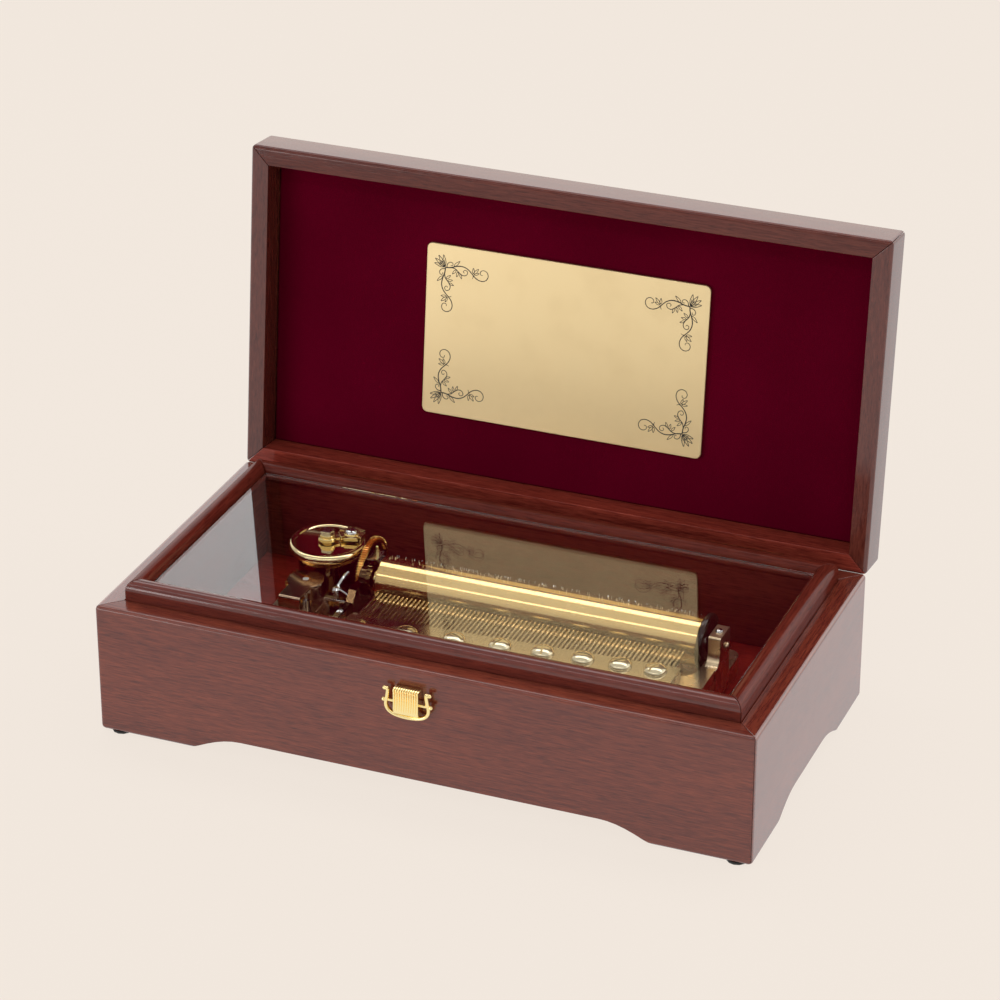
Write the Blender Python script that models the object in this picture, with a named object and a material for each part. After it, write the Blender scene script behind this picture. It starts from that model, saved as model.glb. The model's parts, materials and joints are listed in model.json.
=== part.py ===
"""Music box with a 72-note cylinder movement: the construction model.

The case frame has its origin in the middle of the case, with z = 0 at the underside of the wood.
X runs to the right, Y to the back, Z up. The finished model stands on its rubber feet at z = 0, with
the middle of its box at the origin. The lid is modelled closed and then swung open on its hinge axis.
"""

import math

import bmesh
import bpy
from mathutils import Matrix, Vector

MM = 0.001

# Clearances
GAP = 0.3 * MM
SEAM = 0.1 * MM
LEAF_GAP = 0.3 * MM
RUN_GAP = 0.6 * MM

# Case
CASE_W = 280.0 * MM
CASE_D = 142.6 * MM
CASE_H = 57.0 * MM
CASE_WALL = 9.1 * MM
CASE_EDGE_R = 1.7 * MM
ARCH_H = 6.9 * MM
FRONT_FOOT_L = 41.1 * MM
SIDE_FOOT_L = 31.3 * MM
ARCH_RAMP = 22.0 * MM
WELL_DEPTH = 35.5 * MM
BASE_LIFT = 8.0 * MM
KEY_RECESS_R = 21.0 * MM
KEY_RECESS_H = 7.5 * MM
PAD_R = 4.4 * MM
PAD_H = 1.3 * MM
PAD_INSET = 5.0 * MM

# Liner with the bead round the glass
LINER_T = 7.5 * MM
BEAD_RISE = 8.2 * MM
BEAD_SIDE = 4.2 * MM
BEAD_CREST = 3.7 * MM
GLASS_T = 2.0 * MM
GLASS_BELOW_CREST = 3.2 * MM
GLASS_LIP = 1.5 * MM
GLASS_LIP_H = 1.6 * MM

# Lid
LID_H = 18.5 * MM
LID_WALL = 8.0 * MM
LID_PANEL_T = 5.0 * MM
LID_REBATE = 4.0 * MM
LID_OPEN_DEG = 96.2
LINING_T = 1.2 * MM
PLAQUE_W = 125.5 * MM
PLAQUE_D = 75.5 * MM
PLAQUE_T = 1.5 * MM
PLAQUE_R = 2.5 * MM

# Hinges
PIVOT_INSET = 0.9 * MM
HINGE_X = 88.0 * MM
HINGE_L = 32.0 * MM
LEAF_W = 9.0 * MM
LEAF_T = 1.0 * MM
KNUCKLE_R = 1.5 * MM
HINGE_PIN_R = 0.6 * MM

# Front fitting
FITTING_X = -1.3 * MM
FITTING_Z = 43.0 * MM
FITTING_W = 21.0 * MM
REED_COUNT = 11
REED_W = 0.98 * MM
REED_H = 10.4 * MM
FITTING_DEPTH = 4.4 * MM
CRADLE_R = 0.85 * MM
CRADLE_DROP = 6.6 * MM
CRADLE_RISE = 4.6 * MM
CRADLE_LEAN = 0.9 * MM
CRADLE_LUG = 1.2 * MM
BALL_R = 1.3 * MM

# Bedplate
BED_T = 3.0 * MM
BED_LEFT = 99.0 * MM
BED_RIGHT = 99.3 * MM
BED_FRONT = 36.0 * MM
BED_BACK = 35.0 * MM
BED_WING_BACK = 44.5 * MM
BED_WING_X = 46.0 * MM
BED_CORNER_R = 5.0 * MM
SEAT_H = 17.0 * MM
SEAT_BACK = 9.0 * MM
SEAT_LEFT = 54.0 * MM
HORN_W = 6.2 * MM
HORN_R = 8.0 * MM
LUG_H = 7.8 * MM
LUG_W = 20.0 * MM

# Comb
TEETH = 72
TOOTH_PITCH = 1.873 * MM
TOOTH_W = 0.95 * MM
TOOTH_TIP_W = 0.5 * MM
TOOTH_TIP_L = 1.6 * MM
COMB_T = 1.7 * MM
COMB_BASE_T = 3.0 * MM
COMB_RIGHT_TIP = 85.6 * MM
TREBLE_TOOTH_L = 13.3 * MM
BASS_TOOTH_L = 21.0 * MM
COMB_FRONT = 33.0 * MM
COMB_END = 3.0 * MM
SCREW_COUNT = 8
SCREW_HEAD_R = 4.8 * MM
SCREW_HEAD_H = 2.4 * MM
SCREW_SHANK_R = 2.0 * MM
SCREW_SHANK_L = 7.0 * MM
SCREW_SETBACK = 5.6 * MM
SCREW_FIRST_STEP = 14.5 * MM
SCREW_STEP_GROWTH = 1.1 * MM
SCREW_LAST_INSET = 8.2 * MM

# Cylinder
CYL_Y = 13.5 * MM
CYL_R = 10.5 * MM
CYL_WALL = 1.2 * MM
CYL_LEFT = -50.2 * MM
CYL_RIGHT = 90.0 * MM
PIN_ROOM = 1.2 * MM
FLANGE_R = 12.2 * MM
FLANGE_T = 2.4 * MM
CAP_T = 2.7 * MM
CAP_HUB_R = 4.2 * MM
CAP_HUB_L = 3.3 * MM
ARBOR_R = 2.0 * MM
ARBOR_END = 1.4 * MM
POST_W = 5.2 * MM
POST_D = 11.9 * MM
POST_RISE = 7.4 * MM
POST_SETBACK = 2.2 * MM
POST_FILLET_R = 5.0 * MM
POST_PROUD = 0.4 * MM

# Spring barrel
BARREL_X = -81.7 * MM
BARREL_Y = 27.2 * MM
BARREL_TOP_R = 15.6 * MM
BARREL_RIM_R = 16.4 * MM
BARREL_BODY_R = 12.5 * MM
BARREL_H = 19.5 * MM
BARREL_RIM_H = 3.4 * MM
RING_TEETH = 48
RING_TOOTH_H = 1.3 * MM
RING_BORE_R = 9.0 * MM
RING_T = 2.5 * MM
RING_LIFT = 2.3 * MM
WIND_R = 2.2 * MM
WIND_COLLAR_R = 5.0 * MM
WIND_SQUARE = 4.2 * MM
WIND_SQUARE_H = 2.0 * MM
FINGER_R = 3.6 * MM
FINGER_REACH = 4.1 * MM
FINGER_T = 1.9 * MM
STAR_R = 6.0 * MM
STAR_SLOT_R = 3.3 * MM
STAR_T = 1.5 * MM
STAR_POINTS = 5
STAR_OFFSET = 10.5 * MM
STAR_ANGLE = 38.0
STAR_PIN_R = 1.1 * MM
STAR_HEAD_R = 2.6 * MM
STAR_HEAD_H = 1.5 * MM
KEY_STEM_R = 3.4 * MM
KEY_STEM_H = 7.0 * MM
KEY_SPAN = 30.0 * MM
KEY_T = 2.4 * MM
KEY_WING_H = 9.0 * MM

# Great wheel and its train
WHEEL_TEETH = 60
WHEEL_R = 15.5 * MM
WHEEL_TOOTH_H = 1.1 * MM
WHEEL_T = 2.0 * MM
WHEEL_FLOOR_GAP = 0.5 * MM
WHEEL_X = -61.1 * MM
WHEEL_HOLE_R = 2.9 * MM
WHEEL_ARBOR_R = 1.5 * MM
WHEEL_HUB_R = 3.0 * MM
PINION_TEETH = 24
PINION_T = 1.8 * MM
MESH_ADDENDUM = 0.45 * MM
MESH_DEDENDUM = 0.75 * MM

# Left bearing bracket
BRACKET_T = 3.4 * MM
BRACKET_BOSS_R = 4.3 * MM
BRACKET_H = 26.0 * MM
BRACKET_ARM_H = 22.2 * MM
BRACKET_FRONT = -3.9 * MM
CAP_PLATE_T = 0.9 * MM
CAP_PIN_R = 0.8 * MM
CAP_PIN_H = 3.0 * MM

# Governor
GOV_X = -81.6 * MM
GOV_Y = 4.6 * MM
GOV_PLATE_R = 7.75 * MM
GOV_PLATE_T = 1.1 * MM
GOV_H = 17.0 * MM
GOV_NECK_W = 9.6 * MM
GOV_LEG_Y = -12.4 * MM
GOV_FOOT_L = 8.0 * MM
SHROUD_R = 7.0 * MM
SHROUD_T = 0.8 * MM
SHROUD_H = 6.4 * MM
FLY_R = 5.6 * MM
FLY_H = 4.6 * MM
FLY_T = 0.9 * MM
FLY_ARBOR_R = 0.8 * MM
WORM_R = 1.6 * MM
WORM_L = 6.0 * MM
GOV_WHEEL_R = 4.4 * MM
GOV_WHEEL_T = 1.4 * MM
GOV_WHEEL_TEETH = 28
GOV_WHEEL_ARBOR_R = 0.8 * MM

# Train bridge and stop lever
BRIDGE_H = 8.0 * MM
BRIDGE_T = 1.2 * MM
BRIDGE_BAR_W = 2.6 * MM
BRIDGE_X = -63.0 * MM
BRIDGE_BACK = 8.2 * MM
BRIDGE_FRONT = -22.0 * MM
BRIDGE_LEFT = -75.0 * MM
LEVER_X = -68.8 * MM
LEVER_SLEEVE_R = 1.5 * MM
LEVER_SLEEVE_H = 3.0 * MM
LEVER_KNOB_R = 2.3 * MM
LEVER_KNOB_H = 2.6 * MM
LEVER_PIN_R = 0.7 * MM
LEVER_ARM_R = 0.75 * MM
LEVER_ARM_REACH = 6.2 * MM
LEVER_ARM_RISE = 5.0 * MM
LEVER_WIRE_R = 0.45 * MM
LEVER_WIRE_REACH = 7.6 * MM
LEVER_WIRE_DROP = 1.6 * MM

# Heights and places that follow from the sizes above
BASE_TOP = CASE_H - WELL_DEPTH
LID_BOTTOM = CASE_H + LEAF_GAP
PIVOT_Y = CASE_D / 2 - PIVOT_INSET
PIVOT_Z = CASE_H + LEAF_GAP / 2
LINER_W = CASE_W - 2 * CASE_WALL - 2 * SEAM
LINER_D = CASE_D - 2 * CASE_WALL - 2 * SEAM
BEAD_TOP = CASE_H + BEAD_RISE
GLASS_TOP = BEAD_TOP - GLASS_BELOW_CREST
GLASS_BOTTOM = GLASS_TOP - GLASS_T
BED_BOTTOM = BASE_TOP + GAP
BED_TOP = BED_BOTTOM + BED_T
BRACKET_TOP = BED_BOTTOM + BRACKET_H
BRACKET_ARM_TOP = BED_BOTTOM + BRACKET_ARM_H
SEAT_TOP = BED_BOTTOM + SEAT_H
COMB_BASE_Z = SEAT_TOP + GAP
COMB_Z = COMB_BASE_Z + COMB_BASE_T + GAP
CYL_Z = COMB_Z + COMB_T / 2
TIP_Y = CYL_Y - CYL_R - PIN_ROOM
COMB_LEFT_TIP = COMB_RIGHT_TIP - (TEETH - 1) * TOOTH_PITCH
RING_Z = BED_TOP + RING_LIFT
BARREL_Z = RING_Z + RING_T + GAP
BARREL_TOP = BARREL_Z + BARREL_H
BRACKET_RIGHT = CYL_LEFT - CAP_HUB_L - 2 * RUN_GAP - PINION_T
BRACKET_LEFT = BRACKET_RIGHT - BRACKET_T
WHEEL_Y = BARREL_Y
WHEEL_Z = BED_BOTTOM + WHEEL_FLOOR_GAP + WHEEL_R
RING_TIP_R = WHEEL_X - WHEEL_T - BARREL_X - GAP
MESH_CENTRES = math.hypot(WHEEL_Y - CYL_Y, WHEEL_Z - CYL_Z)
MESH_ANGLE = math.atan2(WHEEL_Z - CYL_Z, WHEEL_Y - CYL_Y)
PINION_X = CYL_LEFT - CAP_HUB_L - RUN_GAP - PINION_T
GOV_TOP = BED_TOP + GAP + GOV_H
BRIDGE_Z = BED_TOP + GAP + BRIDGE_H

WOOD = ("mahogany", (0.23, 0.055, 0.03), 0.22, 0.0)
DARK_WOOD = ("dark_mahogany", (0.13, 0.025, 0.018), 0.2, 0.0)
FLOOR_WOOD = ("floor_wood", (0.3, 0.05, 0.03), 0.35, 0.0)
VELVET = ("burgundy_velvet", (0.13, 0.003, 0.012), 0.95, 0.0)
PLAQUE_GOLD = ("pale_satin_gold", (0.78, 0.62, 0.36), 0.3, 1.0)
BRASS = ("polished_brass", (0.85, 0.6, 0.22), 0.16, 1.0)
CAST_GOLD = ("cast_gold", (0.72, 0.56, 0.32), 0.3, 1.0)
STEEL = ("bright_steel", (0.75, 0.75, 0.74), 0.2, 1.0)
COMB_STEEL = ("comb_steel", (0.62, 0.57, 0.47), 0.28, 1.0)
DARK_METAL = ("dark_polished_metal", (0.1, 0.06, 0.045), 0.18, 1.0)
GLASS = ("clear_glass", (0.9, 0.95, 0.93), 0.02, 0.0)
RUBBER = ("black_rubber", (0.015, 0.015, 0.015), 0.8, 0.0)


def clear_scene():
    for obj in list(bpy.data.objects):
        bpy.data.objects.remove(obj, do_unlink=True)


def finish_material(finish):
    name, colour, roughness, metallic = finish
    material = bpy.data.materials.get(name)
    if material is None:
        material = bpy.data.materials.new(name)
        material.use_nodes = True
        shader = material.node_tree.nodes["Principled BSDF"]
        shader.inputs["Base Color"].default_value = (*colour, 1.0)
        shader.inputs["Roughness"].default_value = roughness
        shader.inputs["Metallic"].default_value = metallic
    return material


def empty(name, parent=None, at=(0, 0, 0)):
    """An empty that carries the pieces of one body, with its origin on the body's axis."""
    obj = bpy.data.objects.new(name, None)
    bpy.context.scene.collection.objects.link(obj)
    obj.parent = parent
    obj.location = at
    return obj


def add_object(name, bm, finish, parent, smooth=30.0):
    """Turn a bmesh in the case frame into a named object carried by its body's empty."""
    bmesh.ops.remove_doubles(bm, verts=bm.verts, dist=0.001 * MM)
    bmesh.ops.recalc_face_normals(bm, faces=bm.faces)
    mesh = bpy.data.meshes.new(name)
    axis_point = parent.location if parent.parent else Vector()
    bm.transform(Matrix.Translation(-axis_point))
    bm.to_mesh(mesh)
    bm.free()
    mesh.materials.append(finish_material(finish))
    mesh.shade_smooth()
    mesh.set_sharp_from_angle(angle=math.radians(smooth))
    obj = bpy.data.objects.new(name, mesh)
    bpy.context.scene.collection.objects.link(obj)
    obj.parent = parent
    return obj


def guide(name, bm, parent):
    """A cutter or a shape to be joined, which isn't a piece of its own."""
    obj = add_object(name, bm, RUBBER, parent)
    obj.hide_render = True
    obj.display_type = "WIRE"
    return obj


def combine(target, tool, operation):
    modifier = target.modifiers.new(tool.name, "BOOLEAN")
    modifier.object = tool
    modifier.operation = operation
    modifier.solver = "EXACT"


def cut(target, tool):
    combine(target, tool, "DIFFERENCE")


def join(target, tool):
    combine(target, tool, "UNION")


def place(point, axis):
    """Map an outline point (u, v) and a height w to the case frame for an extrusion along one axis."""
    u, v, w = point
    if axis == "X":
        return (w, u, v)
    if axis == "Y":
        return (u, w, v)
    return (u, v, w)


def prism(outline, axis, low, high):
    """Extrude a flat outline between two heights. X takes (y, z), Y takes (x, z) and Z takes (x, y)."""
    bm = bmesh.new()
    verts = [bm.verts.new(place((u, v, low), axis)) for u, v in outline]
    face = bm.faces.new(verts)
    step = Vector(place((0, 0, high - low), axis))
    new = bmesh.ops.extrude_face_region(bm, geom=[face])["geom"]
    bmesh.ops.translate(bm, verts=[v for v in new if isinstance(v, bmesh.types.BMVert)], vec=step)
    return bm


def block(x0, x1, y0, y1, z0, z1):
    return prism([(x0, y0), (x1, y0), (x1, y1), (x0, y1)], "Z", z0, z1)


def turned(profile, axis, centre, segments=32):
    """Spin a closed profile of (radius, height) points round an axis through the centre point."""
    bm = bmesh.new()
    verts = [bm.verts.new((r, 0, h)) for r, h in profile]
    edges = [bm.edges.new((verts[i], verts[(i + 1) % len(verts)])) for i in range(len(verts))]
    edges = [e for e in edges if max(abs(v.co.x) for v in e.verts) > 1e-7]
    bmesh.ops.spin(bm, geom=verts + edges, cent=(0, 0, 0), axis=(0, 0, 1), angle=math.tau,
                   steps=segments, use_merge=True)
    bmesh.ops.remove_doubles(bm, verts=bm.verts, dist=0.001 * MM)
    loose = [e for e in bm.edges if not e.link_faces]
    bmesh.ops.delete(bm, geom=loose, context="EDGES")
    turn = {"X": Matrix.Rotation(math.radians(90), 4, "Y"),
            "Y": Matrix.Rotation(math.radians(-90), 4, "X"),
            "Z": Matrix.Identity(4)}[axis]
    bm.transform(Matrix.Translation(Vector(centre)) @ turn)
    return bm


def rod(radius, axis, centre, low, high, segments=24):
    """A plain round bar between two heights along an axis, measured in the case frame."""
    outline = [(0, low), (radius, low), (radius, high), (0, high)]
    line = {"X": (0, centre[1], centre[2]), "Y": (centre[0], 0, centre[2]), "Z": (centre[0], centre[1], 0)}
    return turned(outline, axis, line[axis], segments)


def arc(centre, radius, start, end, steps, squash=1.0):
    """Points on an arc, with angles in degrees; squash scales its second axis."""
    points = []
    for i in range(steps + 1):
        a = math.radians(start + (end - start) * i / steps)
        points.append((centre[0] + radius * math.cos(a), centre[1] + squash * radius * math.sin(a)))
    return points


def rounded_rectangle(width, depth, radius, steps=4):
    points = []
    for k, (sx, sy) in enumerate(((1, 1), (-1, 1), (-1, -1), (1, -1))):
        corner = (sx * (width / 2 - radius), sy * (depth / 2 - radius))
        points += arc(corner, radius, 90 * k, 90 * k + 90, steps)
    return points


def rounded_box(width, depth, z0, z1, radius):
    """A box with every edge rounded, which gives the outer form of the case or the lid."""
    bm = block(-width / 2, width / 2, -depth / 2, depth / 2, z0, z1)
    bmesh.ops.bevel(bm, geom=bm.edges[:], offset=radius, segments=3, profile=0.5, affect="EDGES")
    return bm


def mitred_board(side, width, depth, profile):
    """One side of a mitred frame, from a profile of (inset from the outer face, height)."""
    along, across = (width / 2, depth / 2) if side in ("front", "back") else (depth / 2, width / 2)
    sign = -1 if side in ("front", "left") else 1
    bm = bmesh.new()
    ends = []
    for end in (-1, 1):
        ring = []
        for inset, z in profile:
            a = end * (along - inset - SEAM)
            c = sign * (across - inset)
            ring.append(bm.verts.new((a, c, z) if side in ("front", "back") else (c, a, z)))
        ends.append(ring)
        bm.faces.new(ring)
    for i in range(len(profile)):
        j = (i + 1) % len(profile)
        bm.faces.new((ends[0][i], ends[0][j], ends[1][j], ends[1][i]))
    return bm


def gear_outline(teeth, root, tip, centre, phase=0.0, share=0.4, tip_share=0.22):
    """A toothed outline with straight flanks; share is the tooth's part of the pitch at its root."""
    points = []
    for i in range(teeth):
        middle = (i + phase) * math.tau / teeth
        half_root = share * math.tau / teeth / 2
        half_tip = tip_share * math.tau / teeth / 2
        for radius, angle in ((root, middle - half_root), (tip, middle - half_tip),
                              (tip, middle + half_tip), (root, middle + half_root)):
            points.append((centre[0] + radius * math.cos(angle), centre[1] + radius * math.sin(angle)))
    return points


def merge(*parts):
    """Put several shapes that don't touch into one mesh, for a cutter with many holes."""
    bm = bmesh.new()
    for part in parts:
        mesh = bpy.data.meshes.new("part")
        part.to_mesh(mesh)
        part.free()
        bm.from_mesh(mesh)
        bpy.data.meshes.remove(mesh)
    return bm


def arch_outline(half_length, ramp):
    """The space under an apron: flat in the middle, with a quarter sine wave down to each foot."""
    steps = 6
    rise = [(half_length - ramp * i / steps, ARCH_H * math.sin(math.pi / 2 * i / steps))
            for i in range(steps + 1)]
    fall = [(-u, v) for u, v in reversed(rise)]
    return [(half_length, -5 * MM)] + rise + fall + [(-half_length, -5 * MM)]


def make_case(body):
    over = 1 * MM
    profile = [(-over, -over), (CASE_WALL, -over), (CASE_WALL, CASE_H + over), (-over, CASE_H + over)]
    form = guide("case_form", rounded_box(CASE_W, CASE_D, 0, CASE_H, CASE_EDGE_R), body)
    front_arch = guide("front_arch", prism(arch_outline(CASE_W / 2 - FRONT_FOOT_L, ARCH_RAMP), "Y",
                                           -CASE_D, CASE_D), body)
    side_arch = guide("side_arch", prism(arch_outline(CASE_D / 2 - SIDE_FOOT_L, ARCH_RAMP), "X",
                                         -CASE_W, CASE_W), body)
    boards = {}
    for side in ("front", "back", "left", "right"):
        board = add_object("case_" + side, mitred_board(side, CASE_W, CASE_D, profile), WOOD, body)
        combine(board, form, "INTERSECT")
        cut(board, front_arch if side in ("front", "back") else side_arch)
        boards[side] = board
    return boards


def make_base_board(body):
    inner_w = CASE_W / 2 - CASE_WALL - GAP
    inner_d = CASE_D / 2 - CASE_WALL - GAP
    board = add_object("base_board", block(-inner_w, inner_w, -inner_d, inner_d, BASE_LIFT, BASE_TOP),
                       FLOOR_WOOD, body)
    at = (BARREL_X, BARREL_Y, 0)
    recess = rod(KEY_RECESS_R, "Z", at, BASE_LIFT - 1 * MM, BASE_LIFT + KEY_RECESS_H, 32)
    cut(board, guide("key_recess", recess, body))
    hole = rod(WIND_R + RUN_GAP, "Z", at, BASE_LIFT, BASE_TOP + 1 * MM)
    cut(board, guide("key_hole", hole, body))


def make_pads(body):
    x = CASE_W / 2 - PAD_INSET - PAD_R + 1.9 * MM
    y = CASE_D / 2 - PAD_INSET
    for index, (sx, sy) in enumerate(((-1, -1), (1, -1), (1, 1), (-1, 1)), start=1):
        top = -2 * SEAM
        low = top - PAD_H
        crown = 0.4 * MM
        profile = [(0, low), (PAD_R - crown, low), (PAD_R, low + crown), (PAD_R, top), (0, top)]
        add_object(f"rubber_foot_{index}", turned(profile, "Z", (sx * x, sy * y, 0), 12), RUBBER, body)


def liner_profile():
    """The liner board with its bead on top and the small lip that carries the glass."""
    side_top = BEAD_TOP - BEAD_RISE + BEAD_SIDE
    outer = arc((BEAD_CREST, side_top), BEAD_CREST, 180, 90, 5, (BEAD_TOP - side_top) / BEAD_CREST)
    inner_r = LINER_T - BEAD_CREST
    inner_low = GLASS_TOP + 0.2 * MM
    inner = arc((BEAD_CREST, inner_low), inner_r, 90, 0, 5, (BEAD_TOP - inner_low) / inner_r)
    lip = LINER_T + GLASS_LIP
    rest = GLASS_BOTTOM - GAP
    return ([(0, BASE_TOP + GAP)] + outer + inner[1:]
            + [(LINER_T, rest), (lip, rest), (lip, rest - GLASS_LIP_H),
               (LINER_T, rest - GLASS_LIP_H - GLASS_LIP), (LINER_T, BASE_TOP + GAP)])


def make_liner(body):
    for side in ("front", "back", "left", "right"):
        add_object("liner_" + side, mitred_board(side, LINER_W, LINER_D, liner_profile()), DARK_WOOD, body)
    half_w = LINER_W / 2 - LINER_T - GAP
    half_d = LINER_D / 2 - LINER_T - GAP
    pane = block(-half_w, half_w, -half_d, half_d, GLASS_BOTTOM, GLASS_TOP)
    add_object("glass_pane", pane, GLASS, body)


def reeded_outline():
    """Plan of the fitting's reeds: a flat back and a row of half-round reeds in front."""
    back = -CASE_D / 2 - GAP
    front = back - FITTING_DEPTH + REED_W / 2
    left = FITTING_X - REED_COUNT * REED_W / 2
    points = [(left + REED_COUNT * REED_W, back), (left, back)]
    for i in range(REED_COUNT):
        middle = (left + (i + 0.5) * REED_W, front)
        reed = arc(middle, REED_W / 2, 180, 360, 3)
        points += reed if i == 0 else reed[1:]
    return points


def sweep(points, radius, sides=8, across=(0, 1, 0)):
    """A round bar along a smooth path that never runs along the given cross direction."""
    bm = bmesh.new()
    rings = []
    for i, p in enumerate(points):
        before = Vector(points[max(i - 1, 0)])
        after = Vector(points[min(i + 1, len(points) - 1)])
        along = (after - before).normalized()
        up = along.cross(Vector(across)).normalized()
        side = up.cross(along)
        ring = []
        for k in range(sides):
            a = math.tau * k / sides
            ring.append(bm.verts.new(Vector(p) + radius * (math.cos(a) * up + math.sin(a) * side)))
        rings.append(ring)
    for low, high in zip(rings, rings[1:]):
        for k in range(sides):
            bm.faces.new((low[k], low[(k + 1) % sides], high[(k + 1) % sides], high[k]))
    bm.faces.new(rings[0])
    bm.faces.new(rings[-1])
    return bm


def ball(centre, radius, axis):
    outline = [(radius * math.cos(math.radians(a)), radius * math.sin(math.radians(a)))
               for a in range(-90, 91, 30)]
    outline[0] = (0, -radius)
    outline[-1] = (0, radius)
    return turned(outline, axis, centre, 10)


def make_front_fitting(body):
    """A small reeded clasp ornament: upright reeds held in a bowed cradle, with a ball-ended bar."""
    low = FITTING_Z - REED_H / 2
    reeds = add_object("front_fitting", prism(reeded_outline(), "Z", low, low + REED_H), BRASS, body)
    middle_y = -CASE_D / 2 - GAP - FITTING_DEPTH / 2
    half = FITTING_W / 2 - CRADLE_R
    path = []
    for i in range(15):
        t = -1 + 2 * i / 14
        up = (CRADLE_RISE + CRADLE_DROP) * (1 - math.cos(t * math.pi / 2) ** 0.8)
        lean = CRADLE_LEAN * abs(t) ** 6
        x = half * math.sin(t * math.pi / 2) - math.copysign(lean, t)
        path.append((FITTING_X + x, middle_y, FITTING_Z - CRADLE_DROP + up))
    lugs = []
    for index, sign in ((0, -1), (-1, 1)):
        x, y, z = path[index]
        lugs.append((x + sign * CRADLE_LUG, y, z + CRADLE_R))
    path = [lugs[0], *path, lugs[1]]
    join(reeds, guide("fitting_cradle", sweep(path, CRADLE_R), body))
    bar_z = FITTING_Z - 0.6 * MM
    bar = rod(CRADLE_R * 0.8, "X", (0, middle_y, bar_z), FITTING_X - half, FITTING_X + half, 10)
    join(reeds, guide("fitting_bar", bar, body))
    for sign in (-1, 1):
        end = ball((FITTING_X + sign * half, middle_y, bar_z), BALL_R, "X")
        join(reeds, guide(f"fitting_ball_{sign}", end, body))


def make_lid(lid):
    over = 1 * MM
    shelf = LID_BOTTOM + LID_H - LID_PANEL_T - GAP
    top = LID_BOTTOM + LID_H
    profile = [(-over, LID_BOTTOM - over), (LID_WALL, LID_BOTTOM - over), (LID_WALL, shelf),
               (LID_REBATE, shelf), (LID_REBATE, top + over), (-over, top + over)]
    form = guide("lid_form", rounded_box(CASE_W, CASE_D, LID_BOTTOM, top, CASE_EDGE_R), lid)
    rails = {}
    for side in ("front", "back", "left", "right"):
        rail = add_object("lid_rail_" + side, mitred_board(side, CASE_W, CASE_D, profile), WOOD, lid)
        combine(rail, form, "INTERSECT")
        rails[side] = rail
    half_w = CASE_W / 2 - LID_REBATE - SEAM
    half_d = CASE_D / 2 - LID_REBATE - SEAM
    panel = block(-half_w, half_w, -half_d, half_d, top - LID_PANEL_T, top)
    add_object("lid_top_panel", panel, WOOD, lid)
    half_w = CASE_W / 2 - LID_WALL - GAP
    half_d = CASE_D / 2 - LID_WALL - GAP
    lining_top = top - LID_PANEL_T - GAP
    lining = block(-half_w, half_w, -half_d, half_d, lining_top - LINING_T, lining_top)
    add_object("lid_lining", lining, VELVET, lid)
    plaque_top = lining_top - LINING_T - GAP
    plaque = prism(rounded_rectangle(PLAQUE_W, PLAQUE_D, PLAQUE_R), "Z", plaque_top - PLAQUE_T, plaque_top)
    add_object("plaque", plaque, PLAQUE_GOLD, lid)
    return rails


def leaf_block(x0, x1, sign, near):
    """The flat of a hinge leaf in the back face, below the axis (sign -1) or above it (sign 1)."""
    z0, z1 = sorted((PIVOT_Z + sign * near, PIVOT_Z + sign * LEAF_W))
    return block(x0, x1, CASE_D / 2 - LEAF_T, CASE_D / 2, z0, z1)


def make_hinge(name, x, case, lid, case_back, lid_back):
    """A butt hinge let into the back faces: the case leaf has the outer knuckles and the pin."""
    third = HINGE_L / 3
    room = KNUCKLE_R + GAP
    at = (0, PIVOT_Y, PIVOT_Z)
    low = add_object(f"hinge_leaf_case_{name}", leaf_block(x - HINGE_L / 2, x + HINGE_L / 2, -1, room),
                     BRASS, case)
    for index, start in enumerate((x - HINGE_L / 2, x + HINGE_L / 2 - third + GAP)):
        end = start + third - GAP
        join(low, guide(f"case_web_{name}_{index}", leaf_block(start, end, -1, 0), case))
        join(low, guide(f"case_knuckle_{name}_{index}", rod(KNUCKLE_R, "X", at, start, end, 12), case))
    pin = rod(HINGE_PIN_R, "X", at, x - HINGE_L / 2 + third / 2, x + HINGE_L / 2 - third / 2, 8)
    join(low, guide(f"hinge_pin_{name}", pin, case))
    high = add_object(f"hinge_leaf_lid_{name}", leaf_block(x - HINGE_L / 2, x + HINGE_L / 2, 1, room),
                      BRASS, lid)
    start = x - third / 2 + GAP / 2
    end = x + third / 2 - GAP / 2
    join(high, guide(f"lid_web_{name}", leaf_block(start, end, 1, 0), lid))
    join(high, guide(f"lid_knuckle_{name}", rod(KNUCKLE_R, "X", at, start, end, 12), lid))
    bore = rod(HINGE_PIN_R + GAP, "X", at, start - 1 * MM, end + 1 * MM, 8)
    cut(high, guide(f"hinge_bore_{name}", bore, lid))
    x0 = x - HINGE_L / 2 - GAP
    x1 = x + HINGE_L / 2 + GAP
    for board, body, sign in ((case_back, case, -1), (lid_back, lid, 1)):
        z0, z1 = sorted((PIVOT_Z - sign * 1 * MM, PIVOT_Z + sign * (LEAF_W + GAP)))
        pocket = block(x0, x1, CASE_D / 2 - LEAF_T - GAP, CASE_D / 2 + 3 * MM, z0, z1)
        cut(board, guide(f"{body.name}_mortise_{name}", pocket, body))
        groove = rod(room, "X", at, x0, x1, 16)
        cut(board, guide(f"{body.name}_groove_{name}", groove, body))


def bed_outline():
    """Plan of the bedplate: a long plate with a wing at the left that carries the barrel."""
    r = BED_CORNER_R
    points = arc((-BED_LEFT + r, -BED_FRONT + r), r, 180, 270, 4)
    points += arc((BED_RIGHT - r, -BED_FRONT + r), r, 270, 360, 4)
    points += arc((BED_RIGHT - r, BED_BACK - r), r, 0, 90, 4)
    points += [(-BED_WING_X, BED_BACK)]
    points += arc((-BED_WING_X - r, BED_WING_BACK - r), r, 0, 90, 4)
    points += arc((-BED_LEFT + r, BED_WING_BACK - r), r, 90, 180, 4)
    return points


def post_front():
    return CYL_Y - POST_D / 2 - POST_SETBACK


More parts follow.
